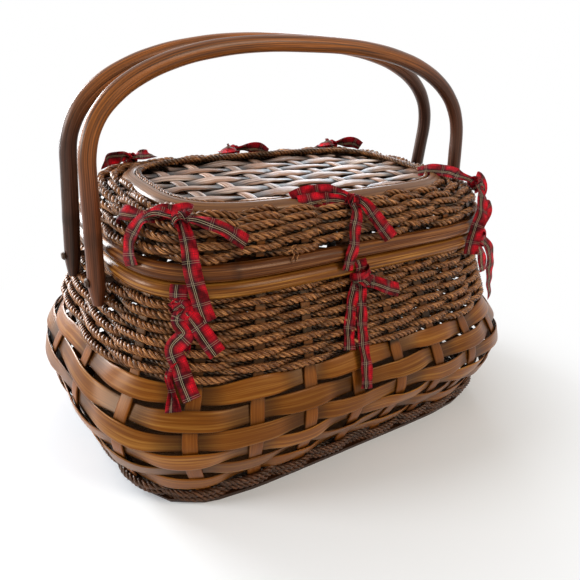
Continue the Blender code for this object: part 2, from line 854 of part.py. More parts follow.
def add_panel_strips(pivot):
    """Flat willow strips along X, each woven over one cross stake and under the next."""
    material = make_material("panel", panel_colour, 0.55)
    rope_inset = band_width / 2 + seat_gap + border_rope_radius
    half_length = band_half_length - rope_inset + border_rope_radius - seat_gap
    half_width = band_half_width - rope_inset - border_rope_radius - seat_gap
    pitch = 2 * half_width / panel_rows
    lift = (cross_stake_thickness + panel_strip_thickness) / 2 + seat_gap
    half_thickness = panel_strip_thickness / 2
    for row in range(panel_rows):
        low_y = -half_width + row * pitch + panel_row_gap / 2
        high_y = low_y + pitch - panel_row_gap
        outer_y = max(abs(low_y), abs(high_y))
        reach = half_width + border_rope_radius * 2
        end = half_length_at(half_length, reach, band_power_x, band_power_y, outer_y)
        over = 1 if row % 2 == 0 else -1
        places = []
        for i in range(cross_stakes):
            x = (i - (cross_stakes - 1) / 2) * cross_stake_pitch
            offset = (over if i % 2 == 0 else -over) * lift
            if abs(x) < end - cross_stake_width:
                places += [(x + side * (cross_stake_width / 2 + seat_gap), offset) for side in (-1, 1)]
        places = [(-end, places[0][1])] + places + [(end, places[-1][1])]
        sections = []
        for x, offset in places:
            z = cross_stake_height() + offset
            sections.append([Vector((x, low_y, z - half_thickness)), Vector((x, high_y, z - half_thickness)),
                             Vector((x, high_y, z + half_thickness)), Vector((x, low_y, z + half_thickness))])
        points, faces = open_loft(sections)
        add_object(f"panel_strip_{row + 1}", points, faces, material, pivot)


def ribbon_sections(stations):
    """Sections of a ribbon: each station is a place, its side direction, its normal and its two sizes."""
    sections = []
    for place, across, normal, width, thickness in stations:
        side, lift = across * (width / 2), normal * (thickness / 2)
        sections.append([place - side - lift, place + side - lift, place + side + lift, place - side + lift])
    return sections


def knot_sizes(share):
    """Ribbon width and thickness along a tie, drawn in and heaped up at the knot."""
    heap = max(0.0, 1 - (share / knot_reach_share) ** 2)
    return (ribbon_width + (ribbon_knot_width - ribbon_width) * heap,
            ribbon_thickness + (ribbon_knot_thickness - ribbon_thickness) * heap)


def rod_station(turn, height, angle):
    """Place and directions on the outside of a rim rod at an angle above its middle."""
    small = turn_step
    powers = (rim_power_x, rim_power_y)
    place = round_rect(rim_half_length, rim_half_width, *powers, turn)
    around = round_rect(rim_half_length, rim_half_width, *powers, turn + small)
    around = (around - round_rect(rim_half_length, rim_half_width, *powers, turn - small)).normalized()
    normal = Vector((around.y, -around.x, 0)) * math.cos(angle) + Vector((0, 0, math.sin(angle)))
    return place + Vector((0, 0, height)) + normal * (rim_rod_radius + 2 * seat_gap), around, normal


def add_body_tie(name, wall, turn):
    """A ribbon over the body's rim rod, knotted under it, whose tail lies down the wall."""
    stations = []
    for angle in body_tie_angles:
        place, around, normal = rod_station(turn, body_rim_height, angle)
        place += normal * (ribbon_thickness / 2)
        stations.append((place, around, normal, ribbon_width, ribbon_thickness))
    outer = rope_offsets()[1] + 2 * seat_gap
    tail_share = wall.share_at(body_rim_height - body_tail_drop)
    knot_share = wall.share_at(body_rim_height - body_knot_drop)
    count = tie_sections - len(body_tie_angles)
    for i in range(count):
        part = i / (count - 1)
        share = knot_share + (tail_share - knot_share) * part
        width, thickness = knot_sizes(part)
        place, around, normal, _ = wall.axes(share, turn)
        stations.append((place + normal * (outer + thickness / 2), around, normal, width, thickness))
    points, faces = open_loft(ribbon_sections(stations))
    add_object(name, points, faces, make_material("ribbon", ribbon_colour, 0.6), smooth=False)


def add_lid_tie(name, wall, turn, pivot):
    """A ribbon from the cane band over the lid's shoulder, knotted there, down to its rim rod."""
    stations = []
    count = tie_sections - len(lid_tie_angles)
    for i in range(count):
        share = lid_tie_top_share * (1 - i / (count - 0.5))
        width, thickness = knot_sizes(abs(share - lid_tie_knot_share))
        place, around, normal, _ = wall.axes(share, turn)
        stations.append((place + normal * (2 * seat_gap + thickness / 2), around, normal, width, thickness))
    for angle in lid_tie_angles:
        place, around, normal = rod_station(turn, lid_rim_height(), angle)
        place += normal * (ribbon_thickness / 2)
        stations.append((place, around, normal, ribbon_width, ribbon_thickness))
    points, faces = open_loft(ribbon_sections(stations))
    add_object(name, points, faces, make_material("ribbon", ribbon_colour, 0.6), pivot, smooth=False)


def front_turn(x):
    """The turn on the rim outline at an X share of its half length, on the front side."""
    return 2 * math.pi - math.acos(abs(x) ** (rim_power_x / 2)) if x > 0 else (
        math.pi + math.acos(abs(x) ** (rim_power_x / 2)))


def tie_turns():
    """The turn of each pair of ribbon ties on the rim."""
    end_turn = 2 * math.pi - math.asin(abs(end_tie_share) ** (rim_power_y / 2))
    rear = [math.pi * 2 - front_turn(share) for share in (-rear_tie_share, middle_tie_share, rear_tie_share)]
    return {
        "front_left": front_turn(front_tie_share),
        "front_middle": front_turn(middle_tie_share),
        "right_end": end_turn,
        "rear_left": rear[0],
        "rear_middle": rear[1],
        "rear_right": rear[2],
    }


def build_basket():
    clear_scene()
    wall = body_wall()
    add_base_board(wall)
    add_base_hoop(wall)
    add_stake_frame(wall)
    add_belt_strips(wall)
    rope_wall = add_rope_walls(wall)
    hoop = add_inner_hoop(wall)
    add_rim_rod("body_rim_rod", body_rim_height, rod_colour)
    add_pins(rope_wall, hoop)

    lid_pivot = add_pivot("lid_pivot", (0, rim_half_width, lid_rim_height()))
    lid = lid_wall()
    add_rim_rod("lid_rim_rod", lid_rim_height(), lid_rod_colour, lid_pivot)
    lid_rope_wall = add_lid_rope_wall(lid, lid_pivot)
    add_lid_trim(lid_pivot)
    add_panel_frame(lid_pivot)
    add_panel_strips(lid_pivot)
    add_hinge_loops(rope_wall, lid_rope_wall)

    add_handle("front_handle", -1, handle_colour)
    add_handle("rear_handle", 1, dark_handle_colour)

    for place, turn in tie_turns().items():
        add_body_tie(f"body_tie_{place}", wall, turn)
        add_lid_tie(f"lid_tie_{place}", lid, turn, lid_pivot)


build_basket()
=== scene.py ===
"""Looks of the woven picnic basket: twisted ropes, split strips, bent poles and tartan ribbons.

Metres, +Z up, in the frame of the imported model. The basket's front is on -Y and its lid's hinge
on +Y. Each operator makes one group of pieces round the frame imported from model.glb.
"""

import math
import random

import bpy
import numpy as np
from mathutils import Matrix, Quaternion, Vector


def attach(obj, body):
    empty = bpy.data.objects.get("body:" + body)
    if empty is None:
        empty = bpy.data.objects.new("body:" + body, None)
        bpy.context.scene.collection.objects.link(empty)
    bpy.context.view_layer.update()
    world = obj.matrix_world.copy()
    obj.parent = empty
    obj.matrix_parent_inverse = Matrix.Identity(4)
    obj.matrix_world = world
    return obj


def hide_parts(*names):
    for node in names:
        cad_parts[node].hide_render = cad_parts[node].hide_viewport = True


bl_info = {
    "name": "Picnic basket",
    "version": (1, 0, 0),
    "blender": (4, 5, 0),
    "location": "3D View > Sidebar > Basket",
    "description": "Dresses the picnic basket with ropes, strips, poles and ribbons",
    "category": "Add Mesh",
}

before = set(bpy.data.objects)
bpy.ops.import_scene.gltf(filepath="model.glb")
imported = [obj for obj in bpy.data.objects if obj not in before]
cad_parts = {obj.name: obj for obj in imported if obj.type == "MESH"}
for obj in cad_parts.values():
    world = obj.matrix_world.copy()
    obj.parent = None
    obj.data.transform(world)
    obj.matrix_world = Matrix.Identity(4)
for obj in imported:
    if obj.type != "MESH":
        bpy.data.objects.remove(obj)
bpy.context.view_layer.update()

# Rim of the basket
rim_half_length = 0.220
rim_half_width = 0.1377
rim_powers = (5.7, 3.4)
rim_rod_radius = 0.008
body_rim_joints = (0.08, 0.31, 0.62, 0.86)
lid_rim_joints = (0.18, 0.45, 0.70, 0.95)
joint_width = 0.55
joint_swell = 0.05
body_rim_height = 0.218
lid_rim_height = 0.2343

# Body walls at the middle of the stakes: height, half length, half width and the outline's two powers
body_levels = (
    (0.0, 0.2255, 0.1495, 6.5, 4.2),
    (0.026, 0.2435, 0.1605, 5.6, 3.8),
    (0.09497, 0.2680, 0.1865, 4.3, 3.2),
    (0.140, 0.2470, 0.1675, 3.9, 3.0),
    (0.2094, 0.2155, 0.1335, 5.5, 3.3),
)
belt_foot_height = 0.026
belt_top_height = 0.140
base_hoop_height = 0.0065

# Upright stakes, with their places taken at the top of the belt
stake_width = 0.014
stake_thickness = 0.0024
stake_foot_share = 0.018
split_stake_loss = 0.22
split_stake_shadow = 0.8
front_stake_pitch = 0.054
end_stake_pitch = 0.070
stakes_per_long_side = 8
stakes_per_end = 4
belt_top_half_length = 0.2470
belt_top_half_width = 0.1675

# Rows of each weave
belt_rows = 6
foot_rope_rows = 4
body_rope_rows = 13
lid_rope_rows = 10
hoop_rope_rows = 2
fuller_aim = (0.7, 1.0)
strip_row_gap = 0.0007
weave_clearance = 0.0003
rope_seat = 0.7
hoop_rope_seat = 0.0005
foot_rope_share = 0.92
lid_lay_share = 1.2
lowest_lid_rope_size = 1.15
twine_radius = 0.0011
twine_lay = 0.006
twine_place = (-0.092, -0.128, 0.246, 0.007)
twine_overlap = 0.0012
twine_thinning = 0.4

# Lid, whose stakes stand a little inside its wall
lid_levels = (
    (0.2429, 0.2197, 0.1374, 5.7, 3.4),
    (0.2553, 0.2172, 0.1357, 5.7, 3.4),
    (0.2704, 0.2060, 0.1278, 5.7, 3.4),
    (0.2754, 0.19345, 0.1159, 5.05, 3.4),
    (0.2775, 0.17975, 0.10275, 4.4, 3.4),
)
band_half_length = 0.1745
band_half_width = 0.0975
band_powers = (4.4, 3.4)
band_height = 0.2775
band_width = 0.0115
band_thickness = 0.004
band_fullness = (1.25, 1.3)
band_tilt = 0.45
band_growth = 0.001
lid_stake_width = 0.011
lid_stake_thickness = 0.0016
lid_stake_offset = -0.0042

# Willow panel and the rope round it
panel_rows = 8
panel_height = 0.2746
panel_lift = 0.0014
panel_row_share = 0.82
willow_thickness = 0.0036
willow_wander = 0.0010
willow_lean = 0.10
willow_lean_pace = 60
willow_swell = 0.96
willow_uneven = 0.09
cross_stakes = 7
cross_stake_pitch = 0.044
cross_stake_width = 0.012
cross_stake_thickness = 0.0026
cross_stake_gap = 0.002
cross_stake_swing = 0.7
border_rope_radius = 0.003
border_rope_lay = 0.016
border_rope_growth = 0.30
border_rope_lift = 0.0022

# Handles
handle_half_span = 0.2385
handle_shoulder_half_span = 0.2359
handle_foot_height = 0.192
handle_shoulder_height = 0.302
handle_crown_height = 0.4154
handle_arch_power = 2.435
handle_foot_spread = 0.0395
handle_lean = 0.085
handle_radius = 0.0081
handle_tip_length = 0.010
handle_tip_share = 0.62
handle_tip_points = 3
handle_knots = (0.07, 0.93)
handle_knot_width = 0.006
handle_knot_swell = 0.05

# Ribbon: how much narrower a full gather makes it, and, in its widths, how deep the pleats and the ripples
# are and how much of it each run's knot hides
ribbon_thickness = 0.00035
gather_loss = 0.55
pleat_depth = 0.14
ripple_depth = (0.035, 0.03)
ripple_pace = 3.9
hidden_length = 0.4
ribbon_columns = 10
ribbon_steps = 7
knot_steps = 20
hug_steps = 14
hug_from, hug_to = 62, -95
hug_clearance = 0.0008
top_slope = (0.25, 0.35)

# Camera at the photograph's place: yaw, pitch and roll in degrees, and the focal length in its pixels
camera_angles = (-35.61, 24.3, 3.81)
camera_place = (-0.3829, -0.5486, 0.4348)
camera_focal_pixels = 593.1
camera_sensor = 36.0
picture_pixels = 580

# Stage: the world's strength, the lamps with place, size, power and colour, and where the floor turns white
world_level = 0.38
lamp_target = (0, 0, 0.18)
lamps = (
    ("window", (-2.2, 0.6, 0.9), 0.9, 42, (0.90, 0.95, 1.0)),
    ("back window", (-1.0, 2.1, 0.75), 1.3, 88, (0.90, 0.95, 1.0)),
    ("sky", (1.5, 1.9, 0.8), 0.7, 10, (0.80, 0.90, 1.0)),
    ("front", (0.9, -2.0, 1.7), 1.2, 36, (1.0, 0.94, 0.84)),
)
floor_radius = 12.0
floor_corners = 64
shadow_reach = (0.24, 0.52)

# Steps along the paths, and the waves round the basket that make it uneven
turn_step = 1e-3
row_steps = 12
stake_steps = 60
outline_steps = 180
waves_round = (3, 5, 8, 13, 21)
wave_sum = 2.2

# Plant finishes: how far a length's tone shifts its streaks, the tone's step from strand to strand of a rope,
# the blotches' scale beside the streaks', what counts as hidden on a strip for its painted shade, the colour
# of the painted shade deep in the weave, and where along X and Z a pole gets painted light on its top and
# painted shade at its right end
fibre_shift = (7.3, 3.1)
strand_tone_step = 0.61
blotch_scale = (0.12, 0.12, 0.6)
hidden_edge_power = 10.0
hidden_face_share = -0.3
painted_shade_colour = (18, 8, 3)
ring_share = 0.75
streak_roughness = 0.18
ridge_strength = 0.8
coat_roughness = 0.32
lit_reach = (0.24, 0.10)
lit_rise = 0.08
shaded_reach = (0.12, 0.22)
shaded_share = 0.8

# Tartan along and across the ribbon: axis, repeats in one width, shift, half width of the dark band, and the
# strengths of the dark band and of the pale lines; then where its lines are from the middle of that band
tartan_setts = (
    ("X", 1.0, -0.15, 0.22, 0.86, 0.8),
    ("Y", 0.82, 0.0, 0.18, 0.62, 0.32),
)
pale_line_place = 0.045
thin_line_places = (0.30, 0.40)
threads_per_width = 62.0


# Shapes that the pieces follow

def round_rect(half_length, half_width, powers, turn):
    """A point of the basket's outline, a rectangle with full round corners and bowed sides."""
    x = half_length * math.copysign(abs(math.cos(turn)) ** (2 / powers[0]), math.cos(turn))
    y = half_width * math.copysign(abs(math.sin(turn)) ** (2 / powers[1]), math.sin(turn))
    return Vector((x, y, 0))


def outline_normal(half_length, half_width, powers, turn):
    """Level outward normal of an outline."""
    ahead = round_rect(half_length, half_width, powers, turn + turn_step)
    ahead -= round_rect(half_length, half_width, powers, turn - turn_step)
    return Vector((ahead.y, -ahead.x, 0)).normalized()


def half_length_at(half_length, half_width, powers, y):
    """How far an outline reaches along X at a given Y."""
    left = max(0.0, 1 - (abs(y) / half_width) ** powers[1])
    return half_length * left ** (1 / powers[0])


def half_width_at(half_length, half_width, powers, x):
    left = max(0.0, 1 - (abs(x) / half_length) ** powers[0])
    return half_width * left ** (1 / powers[1])


class Wall:
    """A wall lofted through level outlines; a share of 0 is its lowest level and 1 its highest."""

    def __init__(self, levels):
        self.rows = np.array(levels, dtype=float)
        steps = np.hypot(np.diff(self.rows[:, 0]), np.diff(self.rows[:, 1]))
        self.length = steps.sum()
        self.shares = np.concatenate([[0], np.cumsum(steps)]) / self.length
        self.slopes = np.gradient(self.rows, self.shares, axis=0)

    def level(self, share):
        i = int(np.clip(np.searchsorted(self.shares, share) - 1, 0, len(self.shares) - 2))
        span = self.shares[i + 1] - self.shares[i]
        u = (share - self.shares[i]) / span
        start = (2 * u**3 - 3 * u**2 + 1) * self.rows[i] + (u**3 - 2 * u**2 + u) * span * self.slopes[i]
        end = (3 * u**2 - 2 * u**3) * self.rows[i + 1] + (u**3 - u**2) * span * self.slopes[i + 1]
        return start + end

    def share_at(self, height):
        low, high = 0.0, 1.0
        for _ in range(40):
            middle = (low + high) / 2
            if self.level(middle)[0] < height:
                low = middle
            else:
                high = middle
        return (low + high) / 2

    def place(self, share, turn):
        level = self.level(share)
        point = round_rect(level[1], level[2], level[3:], turn)
        point.z = level[0]
        return point

    def axes(self, share, turn):
        """Place, direction round the basket, outward normal and direction up the wall."""
        around = (self.place(share, turn + turn_step) - self.place(share, turn - turn_step)).normalized()
        up = (self.place(share + turn_step, turn) - self.place(share - turn_step, turn)).normalized()
        normal = around.cross(up).normalized()
        return self.place(share, turn), around, normal, normal.cross(around)


body_wall = Wall(body_levels)
lid_wall = Wall(lid_levels)


def stake_turns(powers):
    """The turn of each stake on an outline, in order round the basket."""
    ends = [(i + 0.5) * end_stake_pitch / belt_top_half_width for i in range(stakes_per_end // 2)]
    sides = [(i + 0.5) * front_stake_pitch / belt_top_half_length
             for i in reversed(range(stakes_per_long_side // 2))]
    quarter = [math.asin(part ** (powers[1] / 2)) for part in ends]
    quarter += [math.acos(part ** (powers[0] / 2)) for part in sides]
    back = list(reversed(quarter))
    return (quarter + [math.pi - turn for turn in back] + [math.pi + turn for turn in quarter]
            + [2 * math.pi - turn for turn in back])


stake_count = 2 * (stakes_per_long_side + stakes_per_end)


def turn_between_stakes(powers, station):
    """The turn at a station, whose whole numbers are the stakes."""
    turns = stake_turns(powers)
    first = int(math.floor(station)) % stake_count
    start = turns[first]
    end = turns[first + 1] if first + 1 < stake_count else turns[0] + 2 * math.pi
    return start + (end - start) * (station - math.floor(station))


def wobble(seed, station, size):
    """A small, smooth unevenness round the basket, the same each time for one seed."""
    chance = random.Random(seed)
    total = 0.0
    for waves in waves_round:
        total += math.sin(2 * math.pi * waves * station / stake_count + chance.uniform(0, 2 * math.pi))
    return size * total / wave_sum


# Paths are lists of stations, each a place, an aim, a swell, and a mark for a knot or a bare place; the mark
# also sets the painted shade deep in the weave

def woven_row(wall, share, row, front, back, middle=0.0, seed=0, uneven=0.0, flatness=1.0, tilt=0.0,
              swelling=0.0, fuller=0.0, size=1.0):
    """A closed row that runs in front of one stake and behind the next.

    front and back are how far it swings from the middle offset. uneven is how far it wanders up and down,
    tilt how far it leans, swelling how much its thickness varies, and fuller how much thicker it is at the
    back right.
    """
    path = []
    for k in range(stake_count * row_steps):
        station = k / row_steps
        local = share + wobble(seed, station, uneven) / wall.length
        turn = turn_between_stakes(wall.level(local)[3:], station)
        place, _, normal, up = wall.axes(local, turn)
        swing = math.cos(math.pi * station) * (1 if row % 2 == 0 else -1)
        swing = math.tanh(flatness * swing) / math.tanh(flatness)
        offset = middle + swing * (front if swing > 0 else back)
        aim = (normal + up * wobble(seed + 500, station, tilt)).normalized()
        swell = (1 - 2 * swelling + 2 * swelling * swing) * (1 + wobble(seed + 700, station, swelling))
        level = wall.level(local)
        aside = fuller_aim[0] * place.x / level[1] + fuller_aim[1] * place.y / level[2]
        swell *= 1 + fuller * min(1.0, max(0.0, aside))
        path.append((place + normal * offset, aim, swell * size, swing))
    return path


def upright_stake(wall, number, offset, rows, first_rope=0):
    """A stake from a wall's foot to its top, marked where the rows, given by their shares, leave it bare.

    From the row first_rope up it is split thinner, and some of its bare places get painted shadow.
    """
    path = []
    for k in range(stake_steps + 1):
        share = stake_foot_share + (1 - stake_foot_share) * k / stake_steps
        turn = stake_turns(wall.level(share)[3:])[number]
        place, _, normal, _ = wall.axes(share, turn)
        row = np.interp(share, rows, range(len(rows)))
        bare = -math.cos(math.pi * (row + number))
        thin = min(1.0, max(0.0, row - first_rope + 1.0))
        # Painted shadow: a darker mark on some bare places, which the stake's finish turns towards near
        # black.
        shadow = math.sin(2.1 * math.floor(row + 0.5) + 1.7 * number)
        bare -= thin * (split_stake_shadow + split_stake_shadow * shadow)
        swell = (1 + wobble(400 + number, stake_count * share, 0.02)) * (1 - split_stake_loss * thin)
        path.append((place + normal * offset, normal, swell, bare))
    return path


def outline_path(half_length, half_width, powers, height, knots=(), swell=0.0, upward=False):
    """A closed path round a level outline, with rings where a cane's joints are.

    knots are the joints' shares of the way round, and swell is how far each stands out. upward is for a band
    that lies on the lid's shoulder.
    """
    path = []
    for k in range(outline_steps):
        turn = 2 * math.pi * k / outline_steps
        place = round_rect(half_length, half_width, powers, turn)
        place.z = height
        aim = outline_normal(half_length, half_width, powers, turn)
        if upward:
            aim = (aim * band_tilt + Vector((0, 0, 1))).normalized()
        knot = sum(math.exp(-((k - at * outline_steps) / joint_width) ** 2) for at in knots)
        path.append((place, aim, 1 + swell * knot, knot))
    return path


def add_item(name, data):
    item = bpy.data.objects.new(name, data)
    bpy.context.scene.collection.objects.link(item)
    return item


def path_mesh(name, paths, closed):
    """Edges along the paths, with what the sweep reads from each point."""
    points, edges, aims, swells, marks, tones = [], [], [], [], [], []
    chance = random.Random(name)
    for path in paths:
        start = len(points)
        tone = chance.random()
        for place, aim, swell, mark in path:
            points.append(tuple(place))
            aims += tuple(aim)
            swells.append(swell)
            marks.append(mark)
            tones.append(tone)
        count = len(path)
        edges += [(start + i, start + (i + 1) % count) for i in range(count if closed else count - 1)]
    mesh = bpy.data.meshes.new(name)
    mesh.from_pydata(points, edges, [])
    mesh.attributes.new("aim", "FLOAT_VECTOR", "POINT").data.foreach_set("vector", aims)
    for label, values in (("swell", swells), ("mark", marks), ("tone", tones)):
        mesh.attributes.new(label, "FLOAT", "POINT").data.foreach_set("value", values)
    return add_item(name, mesh)


# Node trees that grow meshes along the paths

def add_node(tree, kind, links=None, **settings):
    node = tree.nodes.new(kind)
    for key, value in settings.items():
        setattr(node, key, value)
    for key, value in (links or {}).items():
        socket = node.inputs[key]
        if isinstance(value, bpy.types.NodeSocket):
            tree.links.new(value, socket)
        else:
            socket.default_value = value
    return node


def calc(tree, operation, *values):
    """The result of a Math node."""
    return add_node(tree, "ShaderNodeMath", dict(enumerate(values)), operation=operation).outputs[0]


def vector_calc(tree, operation, first, second):
    """The result of a Vector Math node."""
    links = {0: first, "Scale" if operation == "SCALE" else 1: second}
    return add_node(tree, "ShaderNodeVectorMath", links, operation=operation).outputs[0]


def named(tree, name, kind="FLOAT"):
    node = add_node(tree, "GeometryNodeInputNamedAttribute", {"Name": name}, data_type=kind)
    return node.outputs["Attribute"]


def store(tree, geometry, name, value, kind="FLOAT"):
    """A geometry with a value stored on its points under a name."""
    links = {"Geometry": geometry, "Name": name, "Value": value}
    return add_node(tree, "GeometryNodeStoreNamedAttribute", links, data_type=kind, domain="POINT").outputs[0]


def once(name, build):
    """The node group of a name, built where there is none yet."""
    return bpy.data.node_groups.get(name) or build(name)


def new_group(name, family, inputs, outputs):
    """A node group with its sockets, and the sockets of its input and output nodes."""
    group = bpy.data.node_groups.new(name, family)
    for label, kind, default in inputs:
        socket = group.interface.new_socket(label, in_out="INPUT", socket_type="NodeSocket" + kind)
        if default is not None:
            socket.default_value = default
    for label, kind in outputs:
        group.interface.new_socket(label, in_out="OUTPUT", socket_type="NodeSocket" + kind)
    return group, group.nodes.new("NodeGroupInput").outputs, group.nodes.new("NodeGroupOutput").inputs


def curve_tree(name, inputs):
    """The start of a tree that turns paths into curves of even steps whose normals follow their aims."""
    shape = ("Geometry", "Geometry")
    tree, start, end = new_group(name, "GeometryNodeTree", ((*shape, None), *inputs), (shape,))
    curve = add_node(tree, "GeometryNodeMeshToCurve", {"Mesh": start["Geometry"]})
    even = add_node(tree, "GeometryNodeResampleCurve",
                    {"Curve": curve.outputs[0], "Length": start["Step"]}, mode="LENGTH")
    aimed = add_node(tree, "GeometryNodeSetCurveNormal",
                     {"Curve": even.outputs[0], "Normal": named(tree, "aim", "FLOAT_VECTOR")}, mode="FREE")
    return tree, start, end, aimed.outputs[0]


def swept(tree, curve, outline):
    """A mesh with an outline swept along a curve, and the place of each point in that outline."""
    spot = tree.nodes.new("GeometryNodeInputPosition").outputs[0]
    profile = store(tree, outline, "section", spot, "FLOAT_VECTOR")
    mesh = add_node(tree, "GeometryNodeCurveToMesh", {
        "Curve": curve, "Profile Curve": profile, "Scale": named(tree, "swell"), "Fill Caps": True})
    section = add_node(tree, "ShaderNodeSeparateXYZ", {0: named(tree, "section", "FLOAT_VECTOR")})
    return mesh.outputs[0], section.outputs


def close_tree(tree, mesh, section, deep, start, end):
    """Stores each point's depth in the weave, for the painted shade there, and its place on its fibre, and
    ends the tree.
    """
    mesh = store(tree, mesh, "deep", deep)
    tone = named(tree, "tone")
    place = add_node(tree, "ShaderNodeCombineXYZ", {
        "X": calc(tree, "ADD", section["X"], calc(tree, "MULTIPLY", tone, fibre_shift[0])),
        "Y": calc(tree, "ADD", section["Y"], calc(tree, "MULTIPLY", tone, fibre_shift[1])),
        "Z": named(tree, "along")})
    mesh = store(tree, mesh, "fibre", place.outputs[0], "FLOAT_VECTOR")
    smooth = add_node(tree, "GeometryNodeSetShadeSmooth", {"Geometry": mesh})
    whole = add_node(tree, "GeometryNodeRealizeInstances", {"Geometry": smooth.outputs[0]})
    finish = add_node(tree, "GeometryNodeSetMaterial",
                      {"Geometry": whole.outputs[0], "Material": start["Material"]})
    tree.links.new(finish.outputs[0], end["Geometry"])
    return tree


def rope_tree(name):
    """Strands laid round each path; the lay is fitted so that a closed path meets itself."""
    tree, start, end, aimed = curve_tree(name, (
        ("Rope Radius", "Float", 0.0034), ("Strand Share", "Float", 0.48), ("Lay Length", "Float", 0.02),
        ("Strands", "Int", 3), ("Step", "Float", 0.0024), ("Sides", "Int", 5),
        ("Material", "Material", None)))
    doubled = add_node(tree, "GeometryNodeDuplicateElements",
                       {"Geometry": aimed, "Amount": start["Strands"]}, domain="SPLINE")
    spline = add_node(tree, "GeometryNodeSplineParameter")
    length = add_node(tree, "GeometryNodeSplineLength")
    turns = calc(tree, "ROUND", calc(tree, "DIVIDE", length.outputs["Length"], start["Lay Length"]))
    strand = calc(tree, "DIVIDE", doubled.outputs["Duplicate Index"], start["Strands"])
    phase = calc(tree, "ADD", calc(tree, "MULTIPLY", turns, spline.outputs["Factor"]), strand)
    angle = calc(tree, "MULTIPLY", phase, 2 * math.pi)
    normal = tree.nodes.new("GeometryNodeInputNormal").outputs[0]
    tangent = tree.nodes.new("GeometryNodeInputTangent").outputs[0]
    beside = vector_calc(tree, "CROSS_PRODUCT", tangent, normal)
    strand_radius = calc(tree, "MULTIPLY", start["Rope Radius"], start["Strand Share"])
    swell = named(tree, "swell")
    reach = calc(tree, "MULTIPLY", calc(tree, "SUBTRACT", start["Rope Radius"], strand_radius), swell)
    lift = calc(tree, "MULTIPLY", calc(tree, "COSINE", angle), reach)
    out = vector_calc(tree, "SCALE", normal, lift)
    side = vector_calc(tree, "SCALE", beside, calc(tree, "MULTIPLY", calc(tree, "SINE", angle), reach))
    laid = add_node(tree, "GeometryNodeSetPosition", {
        "Geometry": doubled.outputs["Geometry"], "Offset": vector_calc(tree, "ADD", out, side)})
    marked = store(tree, laid.outputs[0], "along", spline.outputs["Length"])
    marked = store(tree, marked, "lift", lift)
    tone = calc(tree, "ADD", named(tree, "tone"), calc(tree, "MULTIPLY", strand, strand_tone_step))
    marked = store(tree, marked, "tone", calc(tree, "FRACT", tone))
    circle = add_node(tree, "GeometryNodeCurvePrimitiveCircle",
                      {"Resolution": start["Sides"], "Radius": strand_radius}, mode="RADIUS")
    mesh, section = swept(tree, marked, circle.outputs["Curve"])
    # Painted shade: a strand's depth is low behind the stakes and on its inner side, where its finish darkens
    # it.
    outer = calc(tree, "DIVIDE", calc(tree, "ADD", named(tree, "lift"), section["X"]), start["Rope Radius"])
    deep = calc(tree, "MULTIPLY", calc(tree, "ADD", named(tree, "mark"), outer), 0.5)
    return close_tree(tree, mesh, section, deep, start, end)


def sweep_tree(name):
    """A round or flat section along each path, its height towards the path's aim."""
    tree, start, end, aimed = curve_tree(name, (
        ("Width", "Float", 0.016), ("Height", "Float", 0.016), ("Squareness", "Float", 2.0),
        ("Sides", "Int", 16), ("Step", "Float", 0.004), ("Material", "Material", None)))
    spline = add_node(tree, "GeometryNodeSplineParameter")
    marked = store(tree, aimed, "along", spline.outputs["Length"])
    circle = add_node(tree, "GeometryNodeCurvePrimitiveCircle",
                      {"Resolution": start["Sides"], "Radius": 1.0}, mode="RADIUS")
    place = tree.nodes.new("GeometryNodeInputPosition").outputs[0]
    spot = add_node(tree, "ShaderNodeSeparateXYZ", {0: place})
    power = calc(tree, "DIVIDE", 2.0, start["Squareness"])
    sizes = []
    for axis, size in (("X", "Height"), ("Y", "Width")):
        value = spot.outputs[axis]
        full = calc(tree, "POWER", calc(tree, "ABSOLUTE", value), power)
        signed = calc(tree, "MULTIPLY", full, calc(tree, "SIGN", value))
        sizes.append(calc(tree, "MULTIPLY", signed, calc(tree, "MULTIPLY", start[size], 0.5)))
    shape = add_node(tree, "ShaderNodeCombineXYZ", {"X": sizes[0], "Y": sizes[1]})
    shaped = add_node(tree, "GeometryNodeSetPosition",
                      {"Geometry": circle.outputs["Curve"], "Position": shape.outputs[0]})
    mesh, section = swept(tree, marked, shaped.outputs[0])
    # Painted shade: a section's depth is low at its edges, on its inner face and where its path's mark lies
    # deep in the weave.
    aside = calc(tree, "ABSOLUTE", calc(tree, "DIVIDE", section["Y"], start["Width"]))
    edge = calc(tree, "POWER", calc(tree, "MULTIPLY", aside, 2.0), hidden_edge_power)
    edge = calc(tree, "MULTIPLY", edge, 0.5)
    inner = calc(tree, "LESS_THAN", section["X"], calc(tree, "MULTIPLY", start["Height"], hidden_face_share))
    deep = calc(tree, "SUBTRACT", named(tree, "mark"), calc(tree, "ADD", edge, inner))
    return close_tree(tree, mesh, section, deep, start, end)


def set_inputs(modifier, values):
    """Sets a modifier's inputs by their sockets' identifiers."""
    for socket in modifier.node_group.interface.items_tree:
        if socket.item_type == "SOCKET" and socket.in_out == "INPUT" and socket.name in values:
            modifier[socket.identifier] = values[socket.name]


def grown(name, paths, closed, tree, values):
    """A plain mesh grown along paths by a node tree."""
    guide = path_mesh(name + "_guide", paths, closed)
    modifier = guide.modifiers.new("Grow", "NODES")
    modifier.node_group = tree
    set_inputs(modifier, values)
    graph = bpy.context.evaluated_depsgraph_get()
    mesh = bpy.data.meshes.new_from_object(guide.evaluated_get(graph))
    guide_mesh = guide.data
    bpy.data.objects.remove(guide, do_unlink=True)
    bpy.data.meshes.remove(guide_mesh)
    for label in ("section", "along", "aim", "swell", "lift"):
        if label in mesh.attributes:
            mesh.attributes.remove(mesh.attributes[label])
    mesh.name = name
    if not mesh.polygons:
        raise RuntimeError(f"{name} has no faces")
    return add_item(name, mesh)


def dress(item, body, slot, *nodes):
    """Lets a finished piece ride on its body, for the nodes that it stands for; slot is not used."""
    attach(item, body)
    if nodes:
        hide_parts(*nodes)
    return item


